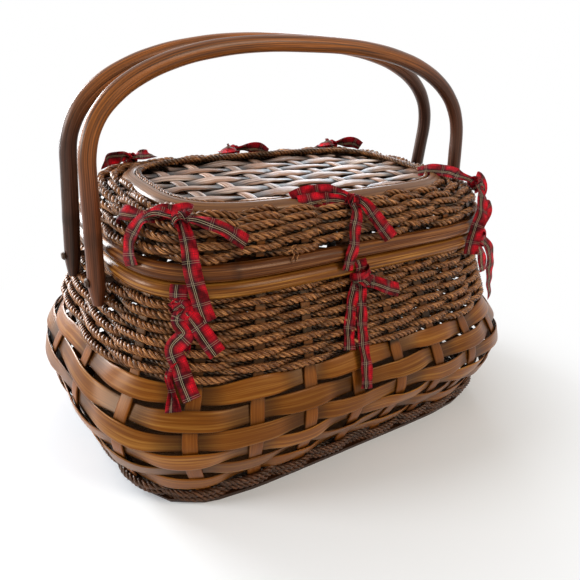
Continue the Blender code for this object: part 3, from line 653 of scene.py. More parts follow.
# Finishes

def linear(red, green, blue):
    """A colour as a shader takes it, from display values of 0 to 255."""
    def part(value):
        value /= 255
        return value / 12.92 if value <= 0.04045 else ((value + 0.055) / 1.055) ** 2.4
    return (part(red), part(green), part(blue), 1.0)


def shades(dark, middle, light, low=0.1, high=0.9):
    """Dark, middle and light stops of a colour ramp, from display values."""
    return (low, linear(*dark)), (0.5, linear(*middle)), (high, linear(*light))


def shades_of(colour):
    """Dark, middle and light stops round one colour."""
    return [(spot, tuple(min(1.0, part * k) for part in colour[:3]) + (1.0,))
            for spot, k in ((0.1, 0.3), (0.5, 1.0), (0.95, 2.0))]


def fibre_group(name):
    """Streaks along a plant's fibres, broad blotches over them, and a fine ridge height."""
    group, start, end = new_group(
        name, "ShaderNodeTree",
        (("Place", "Vector", None), ("Length", "Float", 0.03), ("Width", "Float", 0.0008),
         ("Contrast", "Float", 1.6)),
        (("Streak", "Float"), ("Blotch", "Float"), ("Ridge", "Float")))
    across = calc(group, "DIVIDE", 1.0, start["Width"])
    along = calc(group, "DIVIDE", 1.0, start["Length"])
    scale = add_node(group, "ShaderNodeCombineXYZ", {"X": across, "Y": across, "Z": along})
    fine = vector_calc(group, "MULTIPLY", start["Place"], scale.outputs[0])
    streak = add_node(group, "ShaderNodeTexNoise", {
        "Vector": fine, "Scale": 1.0, "Detail": 3.0, "Roughness": 0.6})
    coarse = vector_calc(group, "MULTIPLY", fine, blotch_scale)
    blotch = add_node(group, "ShaderNodeTexNoise", {"Vector": coarse, "Scale": 1.0, "Detail": 2.0})
    for label, source in (("Streak", streak), ("Blotch", blotch)):
        centred = calc(group, "SUBTRACT", source.outputs["Fac"], 0.5)
        spread = calc(group, "MULTIPLY", centred, start["Contrast"])
        node = add_node(group, "ShaderNodeMath", {0: spread, 1: 0.5}, operation="ADD", use_clamp=True)
        group.links.new(node.outputs[0], end[label])
    group.links.new(streak.outputs["Fac"], end["Ridge"])
    return group


def colour_ramp(tree, factor, stops):
    node = add_node(tree, "ShaderNodeValToRGB", {"Fac": factor})
    ramp = node.color_ramp
    while len(ramp.elements) < len(stops):
        ramp.elements.new(0.5)
    for element, (place, colour) in zip(ramp.elements, stops):
        element.position = place
        element.color = colour
    return node.outputs["Color"]


def blend_colours(tree, factor, first, second):
    return add_node(tree, "ShaderNodeMix", {0: factor, 6: first, 7: second}, data_type="RGBA").outputs[2]


def rise(tree, value, low, high, top=1.0):
    """A smooth rise from 0 to top while a value goes from low to high."""
    links = {"Value": value, "From Min": low, "From Max": high, "To Max": top}
    return add_node(tree, "ShaderNodeMapRange", links, interpolation_type="SMOOTHSTEP").outputs["Result"]


def object_place(tree):
    return tree.nodes.new("ShaderNodeTexCoord").outputs["Object"]


def mark_of(tree, name, output="Fac"):
    """What a mesh stored under a name."""
    return add_node(tree, "ShaderNodeAttribute", attribute_name=name).outputs[output]


def seen_directly(tree):
    """1 for the camera and for mirrors, 0 for the light that falls on things."""
    path = tree.nodes.new("ShaderNodeLightPath").outputs
    seen = calc(tree, "MAXIMUM", path["Is Camera Ray"], path["Is Glossy Ray"])
    return calc(tree, "MAXIMUM", seen, path["Is Transmission Ray"])


def new_material(name):
    made = bpy.data.materials.new(name)
    made.use_nodes = True
    return made, made.node_tree, made.node_tree.nodes["Principled BSDF"]


def link_shader(tree, shader, **sources):
    """Links sources to a shader's sockets, whose names have spaces where these have underscores."""
    for name, source in sources.items():
        tree.links.new(source, shader.inputs[name.replace("_", " ")])


def set_constants(shader, **values):
    """Sets plain values on a shader's own sockets, named in the same way."""
    for name, value in values.items():
        shader.inputs[name.replace("_", " ")].default_value = value


def plant_material(name, stops, length, width, rough, ridge, patch, patch_share=0.5, spread=0.3,
                   contrast=1.8, ring=None, coat=0.0, own_path=True, shade=None, gloss=0.16,
                   glint=(1.0, 0.62, 0.34), crown=None):
    """A finish of dried cane, willow or grass: streaked, blotched, and a little different on each length.

    stops run from dark to light, and contrast tells how far the streaks spread over them. length, width and
    ridge are the streaks' sizes. patch is the colour of the blotches and patch_share their strength. spread
    is how far the lengths differ in brightness. ring is the colour at a cane's joints. own_path is for pieces
    grown along paths, whose streaks follow their fibres. shade gives the two depths in the weave between
    which painted shade brings the colour up from near black. gloss is the strength of the sheen and glint its
    colour, warm because it comes from inside the fibre. crown gives a pole's stops for the painted light on
    its top, away from its right end, its stops for the painted shade at its right end, and the height from
    which the painted light starts.
    """
    made, tree, shader = new_material(name)
    place = mark_of(tree, "fibre", "Vector") if own_path else object_place(tree)
    tone = mark_of(tree, "tone") if own_path else 0.5
    links = {"Place": place, "Length": length, "Width": width, "Contrast": contrast}
    fibre = add_node(tree, "ShaderNodeGroup", links, node_tree=once("Plant fibre", fibre_group)).outputs
    colour = colour_ramp(tree, fibre["Streak"], stops)
    # Painted light: a pole turns golden on its top, away from its right end; painted shade darkens it at its
    # right end.
    if crown:
        lit_tone, shaded_tone, low = crown
        spot = add_node(tree, "ShaderNodeSeparateXYZ", {0: object_place(tree)}).outputs
        high = rise(tree, spot["Z"], low, low + lit_rise)
        share = calc(tree, "MULTIPLY", high, rise(tree, spot["X"], *lit_reach))
        colour = blend_colours(tree, share, colour, colour_ramp(tree, fibre["Streak"], lit_tone))
        share = rise(tree, spot["X"], *shaded_reach, shaded_share)
        colour = blend_colours(tree, share, colour, colour_ramp(tree, fibre["Streak"], shaded_tone))
    share = calc(tree, "MULTIPLY", fibre["Blotch"], patch_share)
    colour = blend_colours(tree, share, colour, patch)
    bright = calc(tree, "ADD", 1 - spread / 2, calc(tree, "MULTIPLY", tone, spread))
    colour = add_node(tree, "ShaderNodeHueSaturation", {"Color": colour, "Value": bright}).outputs["Color"]
    if ring:
        share = calc(tree, "MULTIPLY", mark_of(tree, "mark"), ring_share)
        colour = blend_colours(tree, share, colour, ring)
    # Painted shade: the colour comes up from near black as the depth in the weave rises.
    if shade:
        colour = blend_colours(tree, rise(tree, mark_of(tree, "deep"), *shade), linear(*painted_shade_colour), colour)
    streaked = calc(tree, "ADD", rough, calc(tree, "MULTIPLY", fibre["Streak"], streak_roughness))
    bump = add_node(tree, "ShaderNodeBump", {
        "Height": fibre["Ridge"], "Strength": ridge_strength, "Distance": ridge})
    link_shader(tree, shader, Base_Color=colour, Roughness=streaked, Normal=bump.outputs["Normal"])
    set_constants(shader, Specular_IOR_Level=gloss, Specular_Tint=(*glint, 1), Coat_Weight=coat,
                  Coat_Roughness=coat_roughness)
    return made


def rope_material(name, dark, middle, light, patch):
    # The rope's finish darkens the deep parts of the weave as painted shade.
    return plant_material(
        name, shades(dark, middle, light, 0.15, 0.88), length=0.012, width=0.0006, rough=0.24, ridge=0.0008,
        patch=linear(*patch), patch_share=0.4, spread=0.6, contrast=2.6, shade=(-0.45, 0.50), gloss=0.3,
        coat=0.25)


def sett_group(name):
    """Stripes across one direction of a tartan: dark bands, pale double lines and thin dark lines."""
    group, start, end = new_group(
        name, "ShaderNodeTree",
        (("Coordinate", "Float", 0.0), ("Band", "Float", 0.2), ("Line", "Float", 0.009)),
        (("Dark", "Float"), ("Pale", "Float"), ("Thin", "Float")))
    turn = calc(group, "FRACT", start["Coordinate"])
    middle = calc(group, "ABSOLUTE", calc(group, "SUBTRACT", turn, 0.5))

    def stripe(place, half):
        away = calc(group, "ABSOLUTE", calc(group, "SUBTRACT", middle, place))
        edge = calc(group, "MULTIPLY", half, 0.5)
        node = add_node(group, "ShaderNodeMapRange", {
            "Value": away, "From Min": calc(group, "ADD", half, edge), "From Max": edge})
        return node.outputs["Result"]

    group.links.new(stripe(0.0, start["Band"]), end["Dark"])
    group.links.new(stripe(pale_line_place, start["Line"]), end["Pale"])
    thin = calc(group, "MAXIMUM", *(stripe(place, start["Line"]) for place in thin_line_places))
    group.links.new(thin, end["Thin"])
    return group


def tartan_material(main):
    """Woven tartan ribbon; the pattern follows the cloth's own coordinates."""
    made, tree, shader = new_material("tartan ribbon")
    cloth = add_node(tree, "ShaderNodeUVMap", uv_map="cloth").outputs["UV"]
    split = add_node(tree, "ShaderNodeSeparateXYZ", {0: cloth}).outputs
    stripes, lefts, pales = [], [], []
    for axis, repeats, shift, band, dark_share, pale_share in tartan_setts:
        spot = calc(tree, "ADD", calc(tree, "MULTIPLY", split[axis], repeats), shift)
        links = {"Coordinate": spot, "Band": band}
        sett = add_node(tree, "ShaderNodeGroup", links, node_tree=once("Tartan sett", sett_group)).outputs
        stripes.append(sett)
        lefts.append(calc(tree, "SUBTRACT", 1.0, calc(tree, "MULTIPLY", sett["Dark"], dark_share)))
        pales.append(calc(tree, "MULTIPLY", sett["Pale"], pale_share))
    dark = calc(tree, "SUBTRACT", 1.0, calc(tree, "MULTIPLY", *lefts))
    thin = calc(tree, "MULTIPLY", calc(tree, "MAXIMUM", *(sett["Thin"] for sett in stripes)), 0.6)
    deep = blend_colours(tree, stripes[1]["Dark"], linear(22, 28, 26), linear(12, 13, 28))
    colour = blend_colours(tree, dark, tuple(main), deep)
    colour = blend_colours(tree, thin, colour, linear(20, 14, 22))
    threads = vector_calc(tree, "MULTIPLY", cloth, (threads_per_width, threads_per_width, 0.0))
    fuzz, folds = (add_node(tree, "ShaderNodeTexNoise", {"Vector": place, "Scale": scale, "Detail": detail})
                   .outputs["Fac"] for place, scale, detail in ((threads, 1.0, 1.0), (cloth, 1.3, 2.0)))
    # Painted light and shade over the folds, with the threads' fuzz, brighten and darken the colour.
    lit = add_node(tree, "ShaderNodeMapRange", {
        "Value": folds, "From Min": 0.36, "From Max": 0.64, "To Min": 0.12, "To Max": 1.7})
    lit_tone = calc(tree, "ADD", calc(tree, "MULTIPLY", fuzz, 0.3), lit.outputs["Result"])
    colour = add_node(tree, "ShaderNodeHueSaturation", {"Color": colour, "Value": lit_tone}).outputs["Color"]
    colour = blend_colours(tree, calc(tree, "MAXIMUM", *pales), colour, linear(232, 214, 168))
    weave = add_node(tree, "ShaderNodeTexWave", {"Vector": threads, "Scale": 0.9}, bands_direction="DIAGONAL")
    crumple = calc(tree, "ADD", calc(tree, "MULTIPLY", weave.outputs["Fac"], 0.12), folds)
    bump = add_node(tree, "ShaderNodeBump", {"Height": crumple, "Strength": 0.7, "Distance": 0.003})
    link_shader(tree, shader, Base_Color=colour, Normal=bump.outputs["Normal"])
    set_constants(shader, Roughness=0.5, Specular_IOR_Level=0.09, Sheen_Weight=0.02, Sheen_Roughness=0.4)
    return made


def floor_material():
    """Pale floor that takes the shadow near the basket and is plain white to the camera far from it."""
    made, tree, shader = new_material("pale floor")
    set_constants(shader, Base_Color=(0.93, 0.93, 0.93, 1), Roughness=0.9, Specular_IOR_Level=0.1)
    away = add_node(tree, "ShaderNodeVectorMath", {0: object_place(tree)}, operation="LENGTH")
    far = rise(tree, away.outputs["Value"], *shadow_reach)
    share = calc(tree, "MULTIPLY", far, seen_directly(tree))
    white = add_node(tree, "ShaderNodeEmission", {"Color": (1, 1, 1, 1), "Strength": 1.0})
    mix = add_node(tree, "ShaderNodeMixShader", {0: share, 1: shader.outputs[0], 2: white.outputs[0]})
    tree.links.new(mix.outputs[0], tree.nodes["Material Output"].inputs["Surface"])
    return made


# Settings that a user would change

def length_setting(name, description, default, low, high):
    return bpy.props.FloatProperty(name=name, description=description, default=default, min=low, max=high,
                                   subtype="DISTANCE", unit="LENGTH", precision=4)


def colour_setting(name, description, *shown):
    return bpy.props.FloatVectorProperty(name=name, description=description, size=4, subtype="COLOR",
                                         default=linear(*shown), min=0, max=1)


class BasketSizes(bpy.types.PropertyGroup):
    """Sizes that a user would change."""

    rope_radius: length_setting(
        "Rope radius", "Half the thickness of the twisted rope in the walls", 0.0042, 0.001, 0.006)
    rope_lay: length_setting(
        "Rope lay", "Length in which a strand goes once round its rope", 0.0175, 0.006, 0.05)
    strip_thickness: length_setting(
        "Strip thickness", "Thickness of the wide flat strips of the belt", 0.0019, 0.0008, 0.003)
    ribbon_width: length_setting("Ribbon width", "Width of the tartan ribbon", 0.016, 0.008, 0.03)


class BasketColours(bpy.types.PropertyGroup):
    """Colours that a user would change."""

    ribbon: colour_setting("Ribbon", "Main colour of the tartan ribbon", 184, 11, 28)
    front_pole: colour_setting("Front pole", "Colour of the front handle", 106, 57, 32)
    rear_pole: colour_setting("Rear pole", "Colour of the rear handle", 58, 34, 25)
    # The colour of the painted light on the top of both poles.
    worn_pole: colour_setting("Worn pole", "Colour of both handles where hands have worn them", 138, 78, 28)


def row_shares(first, last, rows):
    return [first + (row + 0.5) * (last - first) / rows for row in range(rows)]


def wall_rows():
    """Shares of the foot's rope rows, the belt's strips and the body's rope rows on the body's wall."""
    hoop, foot, top = (body_wall.share_at(z) for z in (base_hoop_height, belt_foot_height, belt_top_height))
    return (row_shares(hoop, foot, foot_rope_rows), row_shares(foot, top, belt_rows),
            row_shares(top, 1.0, body_rope_rows))


def twine_paths():
    """A little knot of loose twine, with its ends, on the front of the lid's rim rod."""
    middle, normal = on_wall("l", *twine_place)
    side = Vector((0, 0, 1)).cross(normal).normalized()
    up = normal.cross(side)
    strands = (((-7, 1), (-2, 3), (2, 5), (4, 2), (1, -1), (-2, 2), (-1, 6), (3, 7)),
               ((1, 2), (4, 0), (5, -4), (3, -8)), ((0, 1), (0, -3), (-2, -7), (-1, -9)),
               ((2, 3), (7, 2), (12, -1)))
    paths = []
    for strand in strands:
        spots = [middle + (side * x + up * z) * 0.001 + normal * twine_overlap * (i % 2)
                 for i, (x, z) in enumerate(strand)]
        count = 6 * (len(spots) - 1)
        paths.append([(smooth_between(spots, k / count), normal, 1.0 - twine_thinning * k / count, 0.5)
                      for k in range(count + 1)])
    return paths


class BASKET_OT_weave_ropes(bpy.types.Operator):
    """Weaves the twisted rope rows of the foot, the body and the lid"""

    bl_idname = "basket.weave_ropes"
    bl_label = "Weave Ropes"

    def execute(self, context):
        sizes = context.scene.basket_sizes
        tree = once("Twisted rope", rope_tree)
        brown = rope_material("brown grass rope", (26, 9, 3), (84, 43, 15), (220, 154, 94), (134, 78, 42))
        # A darker copy of the brown rope for the foot: partly its own stain, partly painted shade low on the
        # basket.
        dark = rope_material("dark grass rope", (26, 12, 6), (60, 31, 15), (112, 68, 40), (74, 40, 22))
        values = {"Rope Radius": sizes.rope_radius * foot_rope_share, "Lay Length": sizes.rope_lay,
                  "Material": dark}
        depth = stake_thickness / 2 + sizes.rope_radius * rope_seat
        foot_rows, _, rope_rows = wall_rows()

        paths = [woven_row(body_wall, share, row, depth, depth, seed=row, uneven=0.0002, swelling=0.03)
                 for row, share in enumerate(foot_rows)]
        dress(grown("foot_ropes", paths, True, tree, values), "basket", "rope", "foot_rope_wall")

        values.update({"Rope Radius": sizes.rope_radius, "Material": brown})
        paths = []
        for row, share in enumerate(rope_rows):
            back = depth if row < body_rope_rows - hoop_rope_rows else stake_thickness / 2 + hoop_rope_seat
            paths.append(woven_row(body_wall, share, row, depth, back, seed=20 + row, uneven=0.0007,
                                   swelling=0.06, fuller=0.25))
        half = body_rope_rows // 2
        for name, chosen in (("body_ropes_lower", paths[:half]), ("body_ropes_upper", paths[half:])):
            dress(grown(name, chosen, True, tree, values), "basket", "rope", "body_rope_wall")

        depth = lid_stake_thickness / 2 + sizes.rope_radius * rope_seat
        values["Lay Length"] = sizes.rope_lay * lid_lay_share
        paths = [woven_row(lid_wall, share, row, depth, depth, lid_stake_offset, 50 + row, 0.0013,
                           swelling=0.07, fuller=0.2, size=1.0 if row else lowest_lid_rope_size)
                 for row, share in enumerate(row_shares(0.0, 1.0, lid_rope_rows))]
        dress(grown("lid_ropes", paths, True, tree, values), "lid", "rope", "lid_rope_wall")

        values = {"Rope Radius": twine_radius, "Lay Length": twine_lay, "Material": brown}
        dress(grown("twine_knot", twine_paths(), False, tree, values), "lid", "rope")
        return {"FINISHED"}


class BASKET_OT_set_stakes(bpy.types.Operator):
    """Sets the upright stakes of the body and of the lid"""

    bl_idname = "basket.set_stakes"
    bl_label = "Set Stakes"

    def execute(self, context):
        # The stakes' finish darkens their covered and shadowed places as painted shade.
        material = plant_material(
            "orange cane stake", shades((58, 26, 4), (120, 63, 11), (178, 116, 46)), length=0.06,
            width=0.0012, rough=0.24, ridge=0.0002, patch=linear(84, 42, 10), patch_share=0.6, contrast=0.7,
            shade=(-1.3, 0.9), coat=0.05, gloss=0.25)
        tree = once("Bent cane", sweep_tree)
        foot, belt, rope = wall_rows()
        first_rope = len(foot) + len(belt)
        paths = [upright_stake(body_wall, i, 0.0, foot + belt + rope, first_rope) for i in range(stake_count)]
        values = {"Width": stake_width, "Height": stake_thickness, "Squareness": 5.0, "Material": material}
        dress(grown("body_stakes", paths, False, tree, values), "basket", "stakes", "stake_frame")
        rows = row_shares(0.0, 1.0, lid_rope_rows)
        paths = [upright_stake(lid_wall, i, lid_stake_offset, rows) for i in range(stake_count)]
        values.update({"Width": lid_stake_width, "Height": lid_stake_thickness})
        dress(grown("lid_stakes", paths, False, tree, values), "lid", "stakes")
        return {"FINISHED"}


class BASKET_OT_lay_belt(bpy.types.Operator):
    """Lays the wide flat strips of the belt over and under the stakes"""

    bl_idname = "basket.lay_belt"
    bl_label = "Lay Belt"

    def execute(self, context):
        sizes = context.scene.basket_sizes
        # The strips' finish darkens their edges and the places behind the stakes as painted shade.
        material = plant_material(
            "split cane strip", shades((46, 20, 3), (132, 73, 12), (216, 156, 70)), length=0.14, width=0.0022,
            rough=0.24, ridge=0.00018, patch=linear(84, 42, 10), patch_share=0.75, spread=0.6, contrast=0.95,
            shade=(-1.8, 0.4), coat=0.1, gloss=0.22, glint=(1.0, 0.52, 0.2))
        tree = once("Bent cane", sweep_tree)
        rows = wall_rows()[1]
        width = (rows[1] - rows[0]) * body_wall.length - strip_row_gap
        lift = (stake_thickness + sizes.strip_thickness) / 2 + weave_clearance
        paths = [woven_row(body_wall, share, row, lift, lift, seed=80 + row, uneven=0.0012, flatness=1.2,
                           tilt=0.09, swelling=0.04, fuller=0.04) for row, share in enumerate(rows)]
        values = {"Width": width, "Height": sizes.strip_thickness, "Squareness": 4.0, "Material": material}
        nodes = [f"belt_strip_{row + 1}" for row in range(belt_rows)]
        dress(grown("belt_strips", paths, True, tree, values), "basket", "strips", *nodes)
        return {"FINISHED"}


class BASKET_OT_bend_rims(bpy.types.Operator):
    """Bends the two rim rods and the cane band of the lid"""

    bl_idname = "basket.bend_rims"
    bl_label = "Bend Rims"

    def execute(self, context):
        tree = once("Bent cane", sweep_tree)
        rods = (
            ("body_rim", "basket", "body_rod", body_rim_height, body_rim_joints, "golden rattan",
             ((38, 16, 3), (122, 68, 17), (232, 166, 76)), (94, 46, 12), (60, 30, 12)),
            ("lid_rim", "lid", "lid_rod", lid_rim_height, lid_rim_joints, "red-brown rattan",
             ((24, 9, 3), (98, 50, 17), (204, 134, 66)), (54, 25, 10), (44, 22, 12)),
        )
        for name, body, slot, height, joints, label, colours, patch, ring in rods:
            rattan = plant_material(
                label, shades(*colours), length=0.14, width=0.0020, rough=0.18, ridge=0.00012,
                patch=linear(*patch), patch_share=0.6, contrast=1.3, ring=linear(*ring), coat=0.15)
            path = outline_path(rim_half_length, rim_half_width, rim_powers, height, knots=joints,
                                swell=joint_swell)
            values = {"Width": 2 * rim_rod_radius, "Height": 2 * rim_rod_radius, "Sides": 20,
                      "Material": rattan}
            dress(grown(name, [path], True, tree, values), body, slot, name + "_rod")
        cane = plant_material(
            "half-round cane", shades((52, 28, 11), (104, 64, 30), (164, 118, 72)), length=0.10, width=0.0014,
            rough=0.2, ridge=0.0002, patch=linear(104, 66, 34), patch_share=0.6, contrast=1.2, coat=0.5)
        values = {"Width": band_width * band_fullness[0], "Height": band_thickness * band_fullness[1],
                  "Squareness": 2.3, "Sides": 14, "Material": cane}
        path = outline_path(band_half_length + band_growth, band_half_width + band_growth, band_powers,
                            band_height, upward=True)
        dress(grown("lid_band", [path], True, tree, values), "lid", "cane", "lid_cane_band")
        return {"FINISHED"}


class BASKET_OT_weave_panel(bpy.types.Operator):
    """Weaves the willow panel of the lid and lays the rope that borders it"""

    bl_idname = "basket.weave_panel"
    bl_label = "Weave Panel"

    def execute(self, context):
        # The willow's finish darkens the gaps between strips and the places under the cross stakes as painted
        # shade.
        willow = plant_material(
            "split willow", shades((46, 24, 14), (172, 130, 104), (252, 236, 222)), length=0.08, width=0.0014,
            rough=0.26, ridge=0.0003, patch=linear(128, 84, 56), patch_share=0.7, spread=0.8, contrast=2.3,
            shade=(-0.95, 0.75), gloss=0.2, glint=(0.9, 0.95, 1.0))
        tree = once("Bent cane", sweep_tree)
        rope_inset = band_width / 2 + border_rope_radius
        half_length = band_half_length - rope_inset + border_rope_radius / 2
        half_width = band_half_width - rope_inset - border_rope_radius
        pitch = 2 * half_width / panel_rows
        paths = []
        for row in range(panel_rows):
            y = -half_width + (row + 0.5) * pitch
            end = half_length_at(half_length, half_width + 2 * border_rope_radius, band_powers,
                                 abs(y) + pitch / 2)
            path = []
            count = 90
            for k in range(count + 1):
                x = -end + 2 * end * k / count
                swing = math.cos(math.pi * x / cross_stake_pitch) * (1 if row % 2 == 0 else -1)
                station = stake_count * k / count
                lean = Vector((0, willow_lean * math.sin(x * willow_lean_pace + row), 1)).normalized()
                place = Vector((x, y + wobble(200 + row, station, willow_wander),
                                panel_height + panel_lift * swing))
                path.append((place, lean, willow_swell + wobble(220 + row, station, willow_uneven), swing))
            paths.append(path)
        values = {"Width": pitch * panel_row_share, "Height": willow_thickness, "Squareness": 2.2,
                  "Sides": 14, "Material": willow}
        strips = grown("panel_strips", paths, False, tree, values)
        dress(strips, "lid", "panel", *[f"panel_strip_{row + 1}" for row in range(panel_rows)])

        paths = []
        for i in range(cross_stakes):
            x = (i - (cross_stakes - 1) / 2) * cross_stake_pitch
            reach = half_width_at(band_half_length, band_half_width, band_powers, x) - cross_stake_gap
            path = []
            for k in range(61):
                y = -reach + 2 * reach * k / 60
                row = (y + half_width) / pitch - 0.5
                swing = -math.cos(math.pi * (i - (cross_stakes - 1) / 2)) * math.cos(math.pi * row)
                place = Vector((x, y, panel_height + panel_lift * cross_stake_swing * swing))
                path.append((place, Vector((0, 0, 1)), 1.0, swing))
            paths.append(path)
        values.update({"Width": cross_stake_width, "Height": cross_stake_thickness})
        stakes = grown("panel_stakes", paths, False, tree, values)
        dress(stakes, "lid", "stakes", "panel_frame")

        path = []
        for place, aim, _, _ in outline_path(band_half_length - rope_inset, band_half_width - rope_inset,
                                             band_powers, 0.0):
            swell = 1.0 + border_rope_growth * place.y / band_half_width
            place.z = panel_height + border_rope_lift + border_rope_radius * swell
            path.append((place, aim, swell, 0.5))
        values = {"Rope Radius": border_rope_radius, "Lay Length": border_rope_lay,
                  "Material": bpy.data.materials["brown grass rope"]}
        rope = grown("border_rope", [path], True, once("Twisted rope", rope_tree), values)
        dress(rope, "lid", "rope", "lid_border_rope")
        return {"FINISHED"}


class BASKET_OT_bend_handles(bpy.types.Operator):
    """Bends the two pole handles"""

    bl_idname = "basket.bend_handles"
    bl_label = "Bend Handles"

    def execute(self, context):
        colours = context.scene.basket_colours
        tree = once("Bent cane", sweep_tree)
        # Stops of the painted light on the poles' tops and of the painted shade at their right ends.
        lit_tone, shaded_tone = shades_of(colours.worn_pole), shades_of(linear(62, 38, 29))
        poles = ((-1, "front", colours.front_pole, 0.27), (1, "rear", colours.rear_pole, 0.315))
        for side, name, colour, low in poles:
            stops = shades_of(colour)
            darkest = stops[0][1]
            material = plant_material(
                name + " pole", stops, length=0.10, width=0.0013, rough=0.26, ridge=0.0003, patch=darkest,
                patch_share=0.6, contrast=2.8, ring=darkest, coat=0.35, crown=(lit_tone, shaded_tone, low))
            values = {"Width": 2 * handle_radius, "Height": 2 * handle_radius, "Sides": 18,
                      "Material": material}
            pole = grown(name + "_pole", [handle_path(side)], False, tree, values)
            dress(pole, name + "_handle_body", name + "_pole", name + "_handle")
        return {"FINISHED"}


def handle_path(side):
    """Middle line of one handle, from its left tip over the crown to its right tip."""
    spots = []
    legs, arch = 20, 110
    tip = handle_foot_height - handle_tip_length
    for k in range(legs):
        z = tip + (handle_shoulder_height - tip) * k / legs
        part = (z - handle_foot_height) / (handle_shoulder_height - handle_foot_height)
        spots.append((-(handle_half_span + (handle_shoulder_half_span - handle_half_span) * part), z))
    for k in range(arch + 1):
        turn = math.pi * (1 - k / arch)
        reach = abs(math.cos(turn)) ** (2 / handle_arch_power)
        x = handle_shoulder_half_span * math.copysign(reach, math.cos(turn))
        rise = handle_crown_height - handle_shoulder_height
        spots.append((x, handle_shoulder_height + rise * max(0.0, math.sin(turn)) ** (2 / handle_arch_power)))
    spots += [(-x, z) for x, z in reversed(spots[:legs])]
    plane = Vector((0, 1, side * handle_lean)).normalized()
    path = []
    for i, (x, z) in enumerate(spots):
        place = Vector((x, side * (handle_foot_spread - handle_lean * (z - handle_foot_height)), z))
        from_end = min(1.0, min(i, len(spots) - 1 - i) / handle_tip_points)
        share = i / (len(spots) - 1)
        knot = sum(math.exp(-((share - at) / handle_knot_width) ** 2) for at in handle_knots)
        swell = handle_tip_share + (1 - handle_tip_share) * from_end + handle_knot_swell * knot
        swell *= 1 + wobble(300 + side, stake_count * share, 0.015)
        path.append((place, plane, swell, knot))
    return path


# Ribbons

rim_outline = Wall(((0.17, rim_half_length, rim_half_width, *rim_powers),
                    (0.25, rim_half_length, rim_half_width, *rim_powers)))
ribbon_walls = {"b": body_wall, "r": rim_outline, "l": lid_wall}


def on_wall(letter, x, y, z, out):
    """The spot nearest to a rough place, with the outward normal there."""
    if letter == "t":
        aim = Vector((top_slope[0] * x / band_half_length, top_slope[1] * y / band_half_width, 1))
        aim.normalize()
        return Vector((x, y, z)) + aim * out, aim
    wall = ribbon_walls[letter]
    share = min(max(wall.share_at(z), 2 * turn_step), 1 - 2 * turn_step)
    _, half_length, half_width, *powers = wall.level(share)
    beside, aside = min(1.0, abs(x) / half_length), min(1.0, abs(y) / half_width)
    turn = math.acos(beside ** (powers[0] / 2)) if aside > beside else math.asin(aside ** (powers[1] / 2))
    if x < 0:
        turn = math.pi - turn
    place, _, normal, _ = wall.axes(share, turn if y > 0 else -turn)
    return place + normal * out, normal


def smooth_between(values, share):
    """Catmull-Rom curve through evenly spaced values."""
    spot = share * (len(values) - 1)
    i = min(int(spot), len(values) - 2)
    u = spot - i
    a, b, c, d = (values[min(max(i + k, 0), len(values) - 1)] for k in (-1, 0, 1, 2))
    return (b * 2 + (c - a) * u + (a * 2 - b * 5 + c * 4 - d) * u**2 + (b * 3 - a - c * 3 + d) * u**3) / 2


def ribbon_run(curl, *rows):
    """Stations along one run of ribbon on or near the walls.

    A row is a wall's letter, X, Y, Z and distance out in millimetres, how far the ribbon is gathered there
    and, where it turns, its twist in degrees. curl is how far the run is arched across its width.
    """
    found = [on_wall(row[0], *(part / 1000 for part in row[1:5])) for row in rows]
    places, normals = [place for place, _ in found], [normal for _, normal in found]
    gathers = [row[5] for row in rows]
    twists = [row[6] if len(row) > 6 else 0.0 for row in rows]
    count = ribbon_steps * (len(rows) - 1)
    path = [smooth_between(places, k / count) for k in range(count + 1)]
    run = []
    for k, place in enumerate(path):
        share = k / count
        ahead = (path[min(k + 1, count)] - path[max(k - 1, 0)]).normalized()
        normal = smooth_between(normals, share)
        across = ahead.cross(normal).normalized()
        across.rotate(Quaternion(ahead, math.radians(smooth_between(twists, share))))
        run.append((place, across, across.cross(ahead).normalized(), smooth_between(gathers, share), curl))
    return run


def ribbon_wrap(letter, x, y, z, out, tall, deep, lean=0.0, gather=0.55):
    """A closed turn of gathered ribbon that makes a knot.

    Places and sizes are in millimetres. lean turns the knot on the wall, in degrees.
    """
    place, normal = on_wall(letter, x / 1000, y / 1000, z / 1000, out / 1000)
    tall, deep = tall / 1000, deep / 1000
    down = (Vector((0, 0, -1)) + normal * normal.z).normalized()
    down.rotate(Quaternion(normal, math.radians(lean)))
    side = down.cross(normal)
    run = []
    for k in range(knot_steps + 1):
        turn = 2 * math.pi * k / knot_steps
        spot = place + side * tall * math.cos(turn) + normal * deep * math.sin(turn)
        aim = (side * math.cos(turn) / tall + normal * math.sin(turn) / deep).normalized()
        run.append((spot, down, aim, gather, 0.1))
    return run


def ribbon_hug(x, y):
    """Ribbon round the outer face of the body's rim rod, from the gap under the lid's rod, in millimetres."""
    place, normal = on_wall("r", x / 1000, y / 1000, body_rim_height, 0.0)
    place.z = body_rim_height
    normal.z = 0
    normal.normalize()
    across = normal.cross(Vector((0, 0, 1)))
    run = []
    for k in range(hug_steps + 1):
        turn = math.radians(hug_from + (hug_to - hug_from) * k / hug_steps)
        aim = normal * math.cos(turn) + Vector((0, 0, math.sin(turn)))
        run.append((place + aim * (rim_rod_radius + hug_clearance), across, aim, 0.05, 0.0))
    return run


